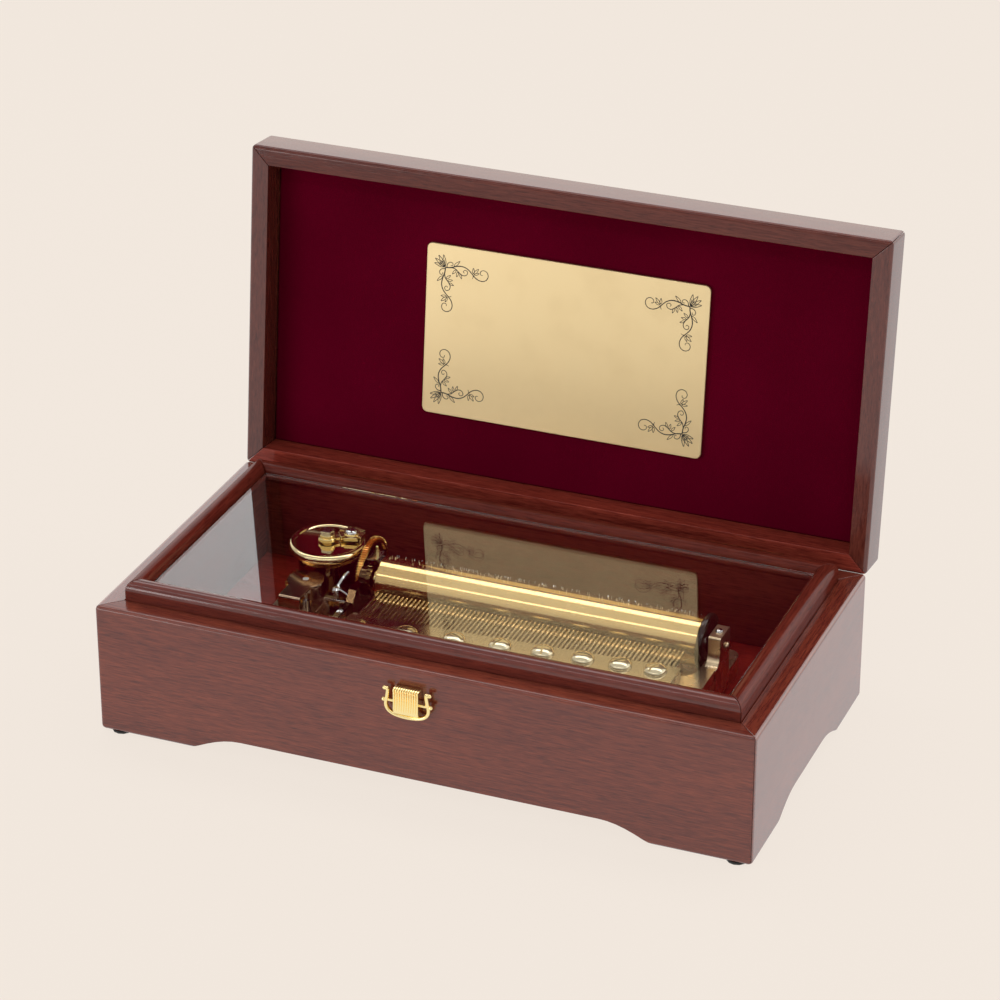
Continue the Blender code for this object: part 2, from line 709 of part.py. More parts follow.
def seat_outline():
    """Plan of the raised comb seat, with the horn that runs back beside the cylinder's end."""
    r = BED_CORNER_R
    horn_x = BED_RIGHT - HORN_W
    inner = arc((horn_x - HORN_R, -SEAT_BACK + HORN_R), HORN_R, 0, -90, 5)
    return ([(-SEAT_LEFT, -BED_FRONT)] + arc((BED_RIGHT - r, -BED_FRONT + r), r, 270, 360, 4)
            + [(BED_RIGHT, post_front() + 1 * MM), (horn_x, post_front() + 1 * MM)] + inner
            + [(-SEAT_LEFT, -SEAT_BACK)])


def post_outline():
    """Side view of the right bearing post, which sweeps up out of the horn in one curve."""
    front = post_front()
    back = front + POST_D
    low = BED_BOTTOM + BED_T / 2
    top = CYL_Z + POST_RISE
    r = POST_FILLET_R
    edge = 1 * MM
    return ([(front - r, low), (back, low)] + arc((back - edge, top - edge), edge, 0, 90, 3)
            + arc((front + edge, top - edge), edge, 90, 180, 3)
            + arc((front - r, SEAT_TOP + r), r, 0, -90, 5))


def make_bedplate(body):
    bed = add_object("bedplate", prism(bed_outline(), "Z", BED_BOTTOM, BED_TOP), CAST_GOLD, body)
    join(bed, guide("comb_seat", prism(seat_outline(), "Z", BED_BOTTOM + BED_T / 2, SEAT_TOP), body))
    r = BED_CORNER_R
    lug_top = BED_BOTTOM + LUG_H
    lug = ([(BED_RIGHT - LUG_W, -SEAT_BACK - 1 * MM), (BED_RIGHT, -SEAT_BACK - 1 * MM)]
           + arc((BED_RIGHT - r, BED_BACK - r), r, 0, 90, 4) + [(BED_RIGHT - LUG_W, BED_BACK)])
    join(bed, guide("bed_lug", prism(lug, "Z", BED_BOTTOM + BED_T / 2, lug_top), body))
    right = BED_RIGHT + POST_PROUD
    join(bed, guide("bearing_post", prism(post_outline(), "X", right - POST_W, right), body))
    bore = rod(ARBOR_R + GAP, "X", (0, CYL_Y, CYL_Z), right - POST_W - 1 * MM, right + 1 * MM)
    cut(bed, guide("post_bore", bore, body))
    slot = block(WHEEL_X - WHEEL_T - 0.6 * MM, WHEEL_X + 0.6 * MM, WHEEL_Y - WHEEL_R, WHEEL_Y + WHEEL_R,
                 BED_BOTTOM - 1 * MM, BED_TOP + 1 * MM)
    cut(bed, guide("wheel_slot", slot, body))
    hole = rod(WIND_R + RUN_GAP, "Z", (BARREL_X, BARREL_Y, 0), BED_BOTTOM - 1 * MM, BED_TOP + 1 * MM)
    cut(bed, guide("arbor_hole", hole, body))
    return bed


def root_y(x):
    """Where the teeth start: the root line slants, because the bass teeth are the longest."""
    share = (x - COMB_LEFT_TIP) / (COMB_RIGHT_TIP - COMB_LEFT_TIP)
    return TIP_Y - BASS_TOOTH_L + share * (BASS_TOOTH_L - TREBLE_TOOTH_L)


def comb_outline():
    """Plan of the comb: a root plate with seventy-two narrow teeth, each with a thinner tip."""
    left = COMB_LEFT_TIP - TOOTH_W / 2 - COMB_END
    right = COMB_RIGHT_TIP + TOOTH_W / 2 + COMB_END
    points = [(left, -COMB_FRONT), (right, -COMB_FRONT), (right, root_y(right))]
    for i in reversed(range(TEETH)):
        x = COMB_LEFT_TIP + i * TOOTH_PITCH
        for sign in (1, -1):
            foot = (x + sign * TOOTH_W / 2, root_y(x))
            shoulder = (x + sign * TOOTH_W / 2, TIP_Y - TOOTH_TIP_L)
            tip = (x + sign * TOOTH_TIP_W / 2, TIP_Y)
            points += [foot, shoulder, tip] if sign > 0 else [tip, shoulder, foot]
    points.append((left, root_y(left)))
    return points


def screw_places():
    """The comb screws follow the root line, closer together towards the treble end."""
    x = COMB_RIGHT_TIP + COMB_END - SCREW_LAST_INSET
    places = []
    for i in range(SCREW_COUNT):
        places.append((x, root_y(x) - SCREW_SETBACK))
        x -= SCREW_FIRST_STEP + i * SCREW_STEP_GROWTH
    return places[::-1]


def make_comb(body, bed):
    left = COMB_LEFT_TIP - TOOTH_W / 2 - COMB_END
    right = COMB_RIGHT_TIP + TOOTH_W / 2 + COMB_END
    strip = [(left, -COMB_FRONT), (right, -COMB_FRONT), (right, root_y(right)), (left, root_y(left))]
    base = add_object("comb_base", prism(strip, "Z", COMB_BASE_Z, COMB_BASE_Z + COMB_BASE_T), BRASS, body)
    comb = add_object("comb", prism(comb_outline(), "Z", COMB_Z, COMB_Z + COMB_T), COMB_STEEL, body)
    top = COMB_Z + COMB_T
    floor = top - SCREW_SHANK_L
    holes = [rod(SCREW_SHANK_R + GAP, "Z", (x, y, 0), floor - GAP, top + 1 * MM, 8)
             for x, y in screw_places()]
    holes = guide("screw_holes", merge(*holes), body)
    for piece in (base, comb, bed):
        cut(piece, holes)
    for index, (x, y) in enumerate(screw_places(), start=1):
        seat = top + GAP
        sphere = (SCREW_HEAD_R ** 2 + SCREW_HEAD_H ** 2) / (2 * SCREW_HEAD_H)
        edge = math.degrees(math.asin(min(SCREW_HEAD_R / sphere, 1.0)))
        crown = arc((0, seat + SCREW_HEAD_H - sphere), sphere, 90 - edge, 90, 2)
        crown[-1] = (0, seat + SCREW_HEAD_H)
        profile = [(0, floor), (SCREW_SHANK_R, floor), (SCREW_SHANK_R, seat)] + crown
        add_object(f"comb_screw_{index}", turned(profile, "Z", (x, y, 0), 12), STEEL, body)


def make_bearing_bracket(body):
    """The left bracket: a plate across the bed with a boss for the cylinder and one for the wheel."""
    low = BED_TOP + GAP
    back = WHEEL_Y + BRACKET_BOSS_R - 0.5 * MM
    upright = WHEEL_Y - BRACKET_BOSS_R
    outline = [(BRACKET_FRONT, low), (back, low), (back, BRACKET_TOP), (upright, BRACKET_TOP),
               (upright, CYL_Z)]
    outline += arc((CYL_Y, CYL_Z), BRACKET_BOSS_R, 0, 180, 10)
    outline += [(CYL_Y - BRACKET_BOSS_R, BRACKET_ARM_TOP), (BRACKET_FRONT + 3.6 * MM, BRACKET_ARM_TOP),
                (BRACKET_FRONT, BRACKET_ARM_TOP - 4.2 * MM)]
    bracket = add_object("bearing_bracket", prism(outline, "X", BRACKET_LEFT, BRACKET_RIGHT), CAST_GOLD, body)
    bores = merge(rod(ARBOR_R + GAP, "X", (0, CYL_Y, CYL_Z), BRACKET_LEFT - 1 * MM, BRACKET_RIGHT + 1 * MM),
                  rod(WHEEL_ARBOR_R + GAP, "X", (0, WHEEL_Y, WHEEL_Z), BRACKET_LEFT - 1 * MM,
                      BRACKET_RIGHT + 1 * MM))
    cut(bracket, guide("bracket_bores", bores, body))
    z = BRACKET_TOP + GAP
    plate = block(BRACKET_LEFT - 0.4 * MM, BRACKET_RIGHT + 0.4 * MM, upright - 0.4 * MM, upright + 5 * MM,
                  z, z + CAP_PLATE_T)
    cap = add_object("bracket_cap", plate, STEEL, body)
    middle = ((BRACKET_LEFT + BRACKET_RIGHT) / 2, upright + 2.4 * MM, 0)
    top = z + CAP_PLATE_T + CAP_PIN_H
    pin = turned([(0, z), (CAP_PIN_R, z), (CAP_PIN_R, top - CAP_PIN_R), (0, top)], "Z", middle, 12)
    join(cap, guide("cap_pin", pin, body))


def make_cylinder(drum_axis):
    axis = (0, CYL_Y, CYL_Z)
    inner = CYL_R - CYL_WALL
    tube = [(inner, CYL_LEFT), (CYL_R, CYL_LEFT), (CYL_R, CYL_RIGHT), (inner, CYL_RIGHT)]
    add_object("cylinder_drum", turned(tube, "X", axis, 40), BRASS, drum_axis)
    bore = ARBOR_R + GAP
    spigot = inner - GAP
    start = CYL_RIGHT + GAP
    end = start + FLANGE_T
    soft = 0.5 * MM
    sleeve = CYL_RIGHT - CAP_T
    flange = [(bore, sleeve), (spigot, sleeve), (spigot, start), (FLANGE_R - soft, start),
              (FLANGE_R, start + soft), (FLANGE_R, end - soft), (FLANGE_R - soft, end), (bore, end)]
    add_object("cylinder_flange", turned(flange, "X", axis, 28), DARK_METAL, drum_axis)
    cap = [(bore, CYL_LEFT - CAP_HUB_L), (CAP_HUB_R, CYL_LEFT - CAP_HUB_L), (CAP_HUB_R, CYL_LEFT),
           (spigot, CYL_LEFT), (spigot, CYL_LEFT + CAP_T), (bore, CYL_LEFT + CAP_T)]
    add_object("cylinder_cap", turned(cap, "X", axis, 18), BRASS, drum_axis)
    left = BRACKET_LEFT - 0.5 * MM
    right = BED_RIGHT + POST_PROUD + ARBOR_END
    shaft = [(0, left), (ARBOR_R, left), (ARBOR_R, right - 1 * MM), (ARBOR_R - 0.6 * MM, right - 0.3 * MM),
             (0, right)]
    add_object("cylinder_arbor", turned(shaft, "X", axis, 16), STEEL, drum_axis)
    pitch_r = MESH_CENTRES / 2
    teeth = gear_outline(PINION_TEETH, pitch_r - MESH_DEDENDUM, pitch_r + MESH_ADDENDUM, (CYL_Y, CYL_Z),
                         MESH_ANGLE / math.tau * PINION_TEETH)
    gear = add_object("cylinder_gear", prism(teeth, "X", PINION_X, PINION_X + PINION_T), BRASS, drum_axis)
    hole = rod(bore, "X", axis, PINION_X - 1 * MM, PINION_X + PINION_T + 1 * MM, 20)
    cut(gear, guide("cylinder_gear_bore", hole, drum_axis))


def make_great_wheel(wheel_axis):
    axis = (0, WHEEL_Y, WHEEL_Z)
    left = WHEEL_X - WHEEL_T
    rim = gear_outline(WHEEL_TEETH, WHEEL_R - WHEEL_TOOTH_H, WHEEL_R, (WHEEL_Y, WHEEL_Z), share=0.6)
    wheel = add_object("great_wheel", prism(rim, "X", left, WHEEL_X), BRASS, wheel_axis)
    hub = rod(WHEEL_HUB_R, "X", axis, left - 1.4 * MM, BRACKET_LEFT - RUN_GAP, 16)
    join(wheel, guide("wheel_hub", hub, wheel_axis))
    ring = (WHEEL_R - WHEEL_TOOTH_H + WHEEL_HUB_R) / 2
    holes = [rod(WHEEL_HOLE_R, "X", (0, WHEEL_Y + ring * math.cos(a), WHEEL_Z + ring * math.sin(a)),
                 left - 3 * MM, WHEEL_X + 3 * MM, 12) for a in (math.tau * i / 6 for i in range(6))]
    cut(wheel, guide("wheel_holes", merge(*holes), wheel_axis))
    bore = rod(WHEEL_ARBOR_R + GAP, "X", axis, left - 5 * MM, WHEEL_X + 5 * MM, 16)
    cut(wheel, guide("wheel_bore", bore, wheel_axis))
    shaft = rod(WHEEL_ARBOR_R, "X", axis, left - 2.2 * MM, PINION_X + PINION_T, 16)
    arbor = add_object("great_wheel_arbor", shaft, STEEL, wheel_axis)
    pitch_r = MESH_CENTRES / 2
    facing = (MESH_ANGLE + math.pi) / math.tau * PINION_TEETH
    teeth = gear_outline(PINION_TEETH, pitch_r - MESH_DEDENDUM, pitch_r + MESH_ADDENDUM, (WHEEL_Y, WHEEL_Z),
                         facing + 0.5)
    join(arbor, guide("pinion_teeth", prism(teeth, "X", PINION_X, PINION_X + PINION_T), wheel_axis))


def barrel_profile():
    """A bowl-shaped drum: a bore, a straight body, a flare and a rounded rim round the flat top."""
    z = BARREL_Z
    top = BARREL_TOP
    rim = arc((BARREL_TOP_R, top - BARREL_RIM_H / 2), BARREL_RIM_H / 2, -75, 90, 4)
    scale = (BARREL_RIM_R - BARREL_TOP_R) / (BARREL_RIM_H / 2)
    rim = [(BARREL_TOP_R + (r - BARREL_TOP_R) * scale, h) for r, h in rim]
    flare = arc((BARREL_TOP_R, top - BARREL_RIM_H - 4 * MM), BARREL_TOP_R - BARREL_BODY_R, 180, 100, 3)
    bore = WIND_R + GAP
    return ([(bore, z), (BARREL_BODY_R + 0.8 * MM, z), (BARREL_BODY_R + 0.8 * MM, z + 1 * MM),
             (BARREL_BODY_R, z + 1.4 * MM)] + flare + rim + [(bore, top)])


def make_barrel(barrel_axis):
    at = (BARREL_X, BARREL_Y, 0)
    add_object("spring_barrel", turned(barrel_profile(), "Z", at, 36), BRASS, barrel_axis)
    teeth = gear_outline(RING_TEETH, RING_TIP_R - RING_TOOTH_H, RING_TIP_R, (BARREL_X, BARREL_Y), share=0.6)
    ring = add_object("barrel_gear", prism(teeth, "Z", RING_Z, RING_Z + RING_T), DARK_METAL, barrel_axis)
    hole = rod(RING_BORE_R, "Z", at, RING_Z - 1 * MM, RING_Z + RING_T + 1 * MM, 32)
    cut(ring, guide("ring_bore", hole, barrel_axis))
    star_x, star_y = star_centre()
    z = BARREL_TOP + GAP
    head = z + STAR_T + GAP
    profile = [(0, z), (STAR_PIN_R, z), (STAR_PIN_R, head), (STAR_HEAD_R, head),
               (STAR_HEAD_R, head + 0.5 * MM), (STAR_HEAD_R * 0.7, head + STAR_HEAD_H * 0.85),
               (0, head + STAR_HEAD_H)]
    add_object("star_screw", turned(profile, "Z", (star_x, star_y, 0), 12), STEEL, barrel_axis)


def star_centre():
    a = math.radians(STAR_ANGLE)
    return BARREL_X + STAR_OFFSET * math.cos(a), BARREL_Y + STAR_OFFSET * math.sin(a)


def make_star(star_axis):
    """The stop-work's star: five lobes with hollow ends, and a slot between each two."""
    star_x, star_y = star_centre()
    points = []
    step = 360 / STAR_POINTS
    for i in range(STAR_POINTS):
        middle = i * step
        for offset, radius in ((-0.47, STAR_SLOT_R), (-0.4, STAR_R), (-0.2, STAR_R * 0.9), (0, STAR_R * 0.86),
                               (0.2, STAR_R * 0.9), (0.4, STAR_R), (0.47, STAR_SLOT_R)):
            a = math.radians(middle + offset * step)
            points.append((star_x + radius * math.cos(a), star_y + radius * math.sin(a)))
    z = BARREL_TOP + GAP
    star = add_object("star_wheel", prism(points, "Z", z, z + STAR_T), BRASS, star_axis)
    hole = rod(STAR_PIN_R + GAP, "Z", (star_x, star_y, 0), z - 1 * MM, z + STAR_T + 1 * MM, 14)
    cut(star, guide("star_bore", hole, star_axis))


def make_winding(wind_axis):
    """The arbor through the barrel, with its square on top, the stop finger and the key below."""
    at = (BARREL_X, BARREL_Y, 0)
    key_top = BASE_LIFT + KEY_RECESS_H - RUN_GAP
    key_low = key_top - KEY_STEM_H
    collar = BED_TOP + GAP
    square_z = BARREL_TOP + GAP + FINGER_T + GAP
    profile = [(0, key_low + 1 * MM), (WIND_R, key_low + 1 * MM), (WIND_R, collar),
               (WIND_COLLAR_R, collar), (WIND_COLLAR_R, RING_Z + RING_T - 0.5 * MM),
               (WIND_R, RING_Z + RING_T - 0.5 * MM), (WIND_R, square_z + 0.2 * MM), (0, square_z + 0.2 * MM)]
    arbor = add_object("winding_arbor", turned(profile, "Z", at, 24), STEEL, wind_axis)
    half = WIND_SQUARE / 2
    square = block(BARREL_X - half, BARREL_X + half, BARREL_Y - half, BARREL_Y + half, square_z,
                   square_z + WIND_SQUARE_H)
    join(arbor, guide("arbor_square", square, wind_axis))
    tooth = math.radians(200)
    outline = []
    for i in range(24):
        a = math.tau * i / 24
        near = abs((a - tooth + math.pi) % math.tau - math.pi) < math.radians(16)
        radius = FINGER_REACH if near else FINGER_R
        outline.append((BARREL_X + radius * math.cos(a), BARREL_Y + radius * math.sin(a)))
    z = BARREL_TOP + GAP
    finger = add_object("stop_finger", prism(outline, "Z", z, z + FINGER_T), BRASS, wind_axis)
    hole = rod(WIND_R + GAP, "Z", at, z - 1 * MM, z + FINGER_T + 1 * MM, 24)
    cut(finger, guide("finger_bore", hole, wind_axis))
    make_key(wind_axis, key_low, key_top)


def make_key(wind_axis, low, top):
    """The key under the base: a round stem on the arbor, with a butterfly grip below it."""
    at = (BARREL_X, BARREL_Y, 0)
    stem = add_object("winding_key", rod(KEY_STEM_R, "Z", at, low, top, 20), STEEL, wind_axis)
    wing_low = low + KEY_STEM_H / 2 - KEY_WING_H
    lobe = KEY_WING_H / 2
    reach = KEY_SPAN / 2 - lobe
    middle = wing_low + lobe
    outline = arc((BARREL_X + reach, middle), lobe, -90, 90, 8)
    outline += [(BARREL_X, middle + lobe * 0.7)]
    outline += arc((BARREL_X - reach, middle), lobe, 90, 270, 8)
    outline += [(BARREL_X, middle - lobe * 0.4)]
    wings = prism(outline, "Y", BARREL_Y - KEY_T / 2, BARREL_Y + KEY_T / 2)
    join(stem, guide("key_wings", wings, wind_axis))
    hole = rod(WIND_R + GAP, "Z", at, low + 1 * MM - GAP, top + 1 * MM, 20)
    cut(stem, guide("key_bore", hole, wind_axis))


def make_governor_bracket(body):
    """A bent plate: a foot on the bed, an upright leg and a top plate that ends round over the fly."""
    low = BED_TOP + GAP
    leg = GOV_LEG_Y
    t = GOV_PLATE_T
    outline = [(leg, low), (leg + GOV_FOOT_L, low), (leg + GOV_FOOT_L, low + t), (leg + t, low + t),
               (leg + t, GOV_TOP - t), (GOV_Y, GOV_TOP - t), (GOV_Y, GOV_TOP)]
    outline += arc((leg + t, GOV_TOP - t), t, 90, 180, 3)
    half = GOV_NECK_W / 2
    bracket = add_object("governor_bracket", prism(outline, "X", GOV_X - half, GOV_X + half), BRASS, body)
    disc = rod(GOV_PLATE_R, "Z", (GOV_X, GOV_Y, 0), GOV_TOP - t, GOV_TOP, 32)
    join(bracket, guide("governor_disc", disc, body))
    outer = arc((GOV_X, GOV_Y), SHROUD_R, -50, 150, 14)
    inner = arc((GOV_X, GOV_Y), SHROUD_R - SHROUD_T, 150, -50, 14)
    wall = prism(outer + inner, "Z", GOV_TOP - t / 2 - SHROUD_H, GOV_TOP - t / 2)
    join(bracket, guide("governor_shroud", wall, body))
    pivot = rod(FLY_ARBOR_R + GAP, "Z", (GOV_X, GOV_Y, 0), GOV_TOP - 2 * t, GOV_TOP + t, 12)
    cut(bracket, guide("governor_pivot", pivot, body))


def make_fly(fly_axis):
    """The air brake: an upright arbor with two vanes above and the worm below."""
    low = BED_TOP + GAP
    worm_low = low + 1.2 * MM
    profile = [(0, low), (FLY_ARBOR_R, low), (FLY_ARBOR_R, worm_low), (WORM_R, worm_low),
               (WORM_R, worm_low + WORM_L), (FLY_ARBOR_R, worm_low + WORM_L), (FLY_ARBOR_R, GOV_TOP - GAP),
               (0, GOV_TOP - GAP)]
    fly = add_object("governor_fly", turned(profile, "Z", (GOV_X, GOV_Y, 0), 12), STEEL, fly_axis)
    top = GOV_TOP - GOV_PLATE_T - RUN_GAP
    vanes = block(GOV_X - FLY_R, GOV_X + FLY_R, GOV_Y - FLY_T / 2, GOV_Y + FLY_T / 2, top - FLY_H, top)
    join(fly, guide("fly_vanes", vanes, fly_axis))


def governor_wheel_place():
    return GOV_X + WORM_R + GAP + GOV_WHEEL_R, BED_TOP + RUN_GAP + GOV_WHEEL_R


def make_governor_wheel(wheel_axis):
    """The worm wheel, upright beside the worm, on an arbor that runs from front to back."""
    x, z = governor_wheel_place()
    teeth = gear_outline(GOV_WHEEL_TEETH, GOV_WHEEL_R - 0.5 * MM, GOV_WHEEL_R, (x, z), share=0.6)
    y = GOV_Y - GOV_WHEEL_T / 2
    wheel = add_object("governor_wheel", prism(teeth, "Y", y, y + GOV_WHEEL_T), BRASS, wheel_axis)
    shaft = rod(GOV_WHEEL_ARBOR_R, "Y", (x, 0, z), GOV_Y - 5 * MM, BRIDGE_BACK - BRIDGE_BAR_W - GAP, 12)
    join(wheel, guide("governor_wheel_arbor", shaft, wheel_axis))


def make_train_bridge(body):
    """A steel bridge over the train: a bar to the back, a bar to the front, two feet and a lever pin."""
    right = BRIDGE_X + BRIDGE_BAR_W / 2
    left = BRIDGE_X - BRIDGE_BAR_W / 2
    outline = [(left, BRIDGE_FRONT), (right, BRIDGE_FRONT), (right, BRIDGE_BACK), (BRIDGE_LEFT, BRIDGE_BACK),
               (BRIDGE_LEFT, BRIDGE_BACK - BRIDGE_BAR_W), (left, BRIDGE_BACK - BRIDGE_BAR_W)]
    bridge = add_object("train_bridge", prism(outline, "Z", BRIDGE_Z, BRIDGE_Z + BRIDGE_T), STEEL, body)
    low = BED_TOP + GAP
    inset = BRIDGE_BAR_W / 2
    feet = ((BRIDGE_X, BRIDGE_FRONT + inset), (BRIDGE_X, BRIDGE_BACK - inset),
            (BRIDGE_LEFT + inset, BRIDGE_BACK - inset))
    for index, (x, y) in enumerate(feet):
        foot = rod(inset * 0.8, "Z", (x, y, 0), low, BRIDGE_Z + BRIDGE_T / 2, 12)
        join(bridge, guide(f"bridge_foot_{index}", foot, body))
    y = BRIDGE_BACK - inset
    top = BRIDGE_Z + BRIDGE_T + GAP + LEVER_SLEEVE_H
    pin = rod(LEVER_PIN_R, "Z", (LEVER_X, y, 0), BRIDGE_Z + BRIDGE_T / 2, top, 12)
    join(bridge, guide("lever_pin", pin, body))


def make_stop_lever(lever_axis):
    """The stop lever: a sleeve and a domed knob on the bridge's pin, a rising arm and a thin wire."""
    y = BRIDGE_BACK - BRIDGE_BAR_W / 2
    z = BRIDGE_Z + BRIDGE_T + GAP
    knob = z + LEVER_SLEEVE_H
    top = knob + LEVER_KNOB_H
    bore = LEVER_PIN_R + GAP
    profile = [(bore, z), (LEVER_SLEEVE_R, z), (LEVER_SLEEVE_R, knob), (LEVER_KNOB_R, knob),
               (LEVER_KNOB_R, knob + LEVER_KNOB_H * 0.5), (LEVER_KNOB_R * 0.7, top - LEVER_KNOB_H * 0.15),
               (0, top), (0, knob + GAP), (bore, knob + GAP)]
    lever = add_object("stop_lever", turned(profile, "Z", (LEVER_X, y, 0), 14), STEEL, lever_axis)
    start = Vector((LEVER_X, y, knob + LEVER_KNOB_H * 0.55))
    arm = []
    wire = []
    for i in range(7):
        t = i / 6
        arm.append(start + Vector((LEVER_ARM_REACH * 0.45 * t, LEVER_ARM_REACH * t,
                                   LEVER_ARM_RISE * math.sin(t * math.pi / 2) * t ** 0.3)))
        wire.append(start + Vector((LEVER_WIRE_REACH * t, -LEVER_WIRE_REACH * 0.35 * t,
                                    -LEVER_WIRE_DROP * t ** 2)))
    join(lever, guide("lever_arm", sweep(arm, LEVER_ARM_R, 8, (1, 0, 0)), lever_axis))
    join(lever, guide("lever_wire", sweep(wire, LEVER_WIRE_R, 6), lever_axis))


def make_movement(body):
    bed = make_bedplate(body)
    make_comb(body, bed)
    make_bearing_bracket(body)
    make_governor_bracket(body)
    make_train_bridge(body)
    make_cylinder(empty("cylinder_axis", body, (0, CYL_Y, CYL_Z)))
    make_great_wheel(empty("great_wheel_axis", body, (WHEEL_X, WHEEL_Y, WHEEL_Z)))
    make_barrel(empty("barrel_axis", body, (BARREL_X, BARREL_Y, BARREL_Z)))
    star_x, star_y = star_centre()
    make_star(empty("star_axis", body, (star_x, star_y, BARREL_TOP)))
    make_winding(empty("winding_axis", body, (BARREL_X, BARREL_Y, BASE_TOP)))
    make_fly(empty("fly_axis", body, (GOV_X, GOV_Y, BED_TOP)))
    wheel_x, wheel_z = governor_wheel_place()
    make_governor_wheel(empty("governor_wheel_axis", body, (wheel_x, GOV_Y, wheel_z)))
    make_stop_lever(empty("lever_axis", body, (LEVER_X, BRIDGE_BACK - BRIDGE_BAR_W / 2, BRIDGE_Z)))


def centre_on_feet(body):
    """Stand the model on z = 0 with the middle of its box over the origin, and say where axes lie."""
    bpy.context.view_layer.update()
    graph = bpy.context.evaluated_depsgraph_get()
    low = Vector((math.inf,) * 3)
    high = -low
    for obj in bpy.data.objects:
        if obj.type == "MESH" and not obj.hide_render:
            shape = obj.evaluated_get(graph)
            for vertex in shape.data.vertices:
                point = shape.matrix_world @ vertex.co
                low = Vector(map(min, low, point))
                high = Vector(map(max, high, point))
    body.location = (-(low.x + high.x) / 2, -(low.y + high.y) / 2, -low.z)
    bpy.context.view_layer.update()
    print("size", [round(v, 6) for v in high - low], "offset", [round(v, 6) for v in body.location])
    for obj in bpy.data.objects:
        if obj.type == "EMPTY":
            print(obj.name, [round(v, 6) for v in obj.matrix_world.translation])


def main():
    clear_scene()
    body = empty("music_box")
    boards = make_case(body)
    make_base_board(body)
    make_pads(body)
    make_liner(body)
    make_front_fitting(body)
    lid = empty("lid_axis", body, (0, PIVOT_Y, PIVOT_Z))
    rails = make_lid(lid)
    for name, x in (("left", -HINGE_X), ("right", HINGE_X)):
        make_hinge(name, x, body, lid, boards["back"], rails["back"])
    lid.rotation_euler = (-math.radians(LID_OPEN_DEG), 0, 0)
    make_movement(body)
    centre_on_feet(body)


main()
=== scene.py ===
"""Looks of a wooden music box with a 72-note cylinder movement.

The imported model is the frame: every piece takes its place from a CAD node's box and rides on that
node's body.  Boards and castings are copies of the CAD solids with eased edges, and the pinned
drum, great wheel, screws, front fitting and scrollwork are built here.
"""

from __future__ import annotations

import json
import logging
import math
from dataclasses import dataclass
from enum import Enum
from functools import cache
from typing import Any, Sequence

import bmesh
import bpy
from mathutils import Matrix, Vector

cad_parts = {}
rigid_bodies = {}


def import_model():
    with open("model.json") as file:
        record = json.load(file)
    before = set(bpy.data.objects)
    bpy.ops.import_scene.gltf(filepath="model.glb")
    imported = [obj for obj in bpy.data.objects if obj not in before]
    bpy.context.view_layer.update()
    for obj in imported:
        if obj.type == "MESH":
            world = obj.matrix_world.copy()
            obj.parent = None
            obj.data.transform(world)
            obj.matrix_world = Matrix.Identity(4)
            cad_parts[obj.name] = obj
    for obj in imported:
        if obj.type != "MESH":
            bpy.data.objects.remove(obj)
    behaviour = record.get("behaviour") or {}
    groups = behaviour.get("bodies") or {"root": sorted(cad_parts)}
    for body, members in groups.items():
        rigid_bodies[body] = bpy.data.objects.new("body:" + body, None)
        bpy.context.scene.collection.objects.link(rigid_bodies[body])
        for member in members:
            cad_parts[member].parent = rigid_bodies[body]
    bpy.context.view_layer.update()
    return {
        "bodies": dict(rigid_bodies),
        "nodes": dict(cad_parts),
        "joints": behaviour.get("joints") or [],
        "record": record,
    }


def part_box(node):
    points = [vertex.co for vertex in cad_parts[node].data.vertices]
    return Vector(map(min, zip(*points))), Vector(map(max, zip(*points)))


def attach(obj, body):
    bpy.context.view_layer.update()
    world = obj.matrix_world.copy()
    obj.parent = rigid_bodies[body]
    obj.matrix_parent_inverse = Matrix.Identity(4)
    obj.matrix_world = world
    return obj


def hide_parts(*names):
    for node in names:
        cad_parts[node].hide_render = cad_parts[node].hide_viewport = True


LOG = logging.getLogger("music_box")
MM = 0.001
UP = Vector((0, 0, 1))
Colour = tuple[float, float, float]
Point2 = tuple[float, float]
Stroke = tuple[list[Point2], float, float]
Seat = tuple[Vector, Vector, float]
Socket = bpy.types.NodeSocket
BMesh = bmesh.types.BMesh
Object = bpy.types.Object


class Axis(Enum):
    """A direction of the model."""

    X = 0
    Y = 1
    Z = 2

    def stretch(self, along: float) -> tuple[float, ...]:
        """Scales of a pattern that runs long on this axis, where the other two keep 1."""
        return tuple(along if index == self.value else 1.0 for index in range(3))


# Node trees


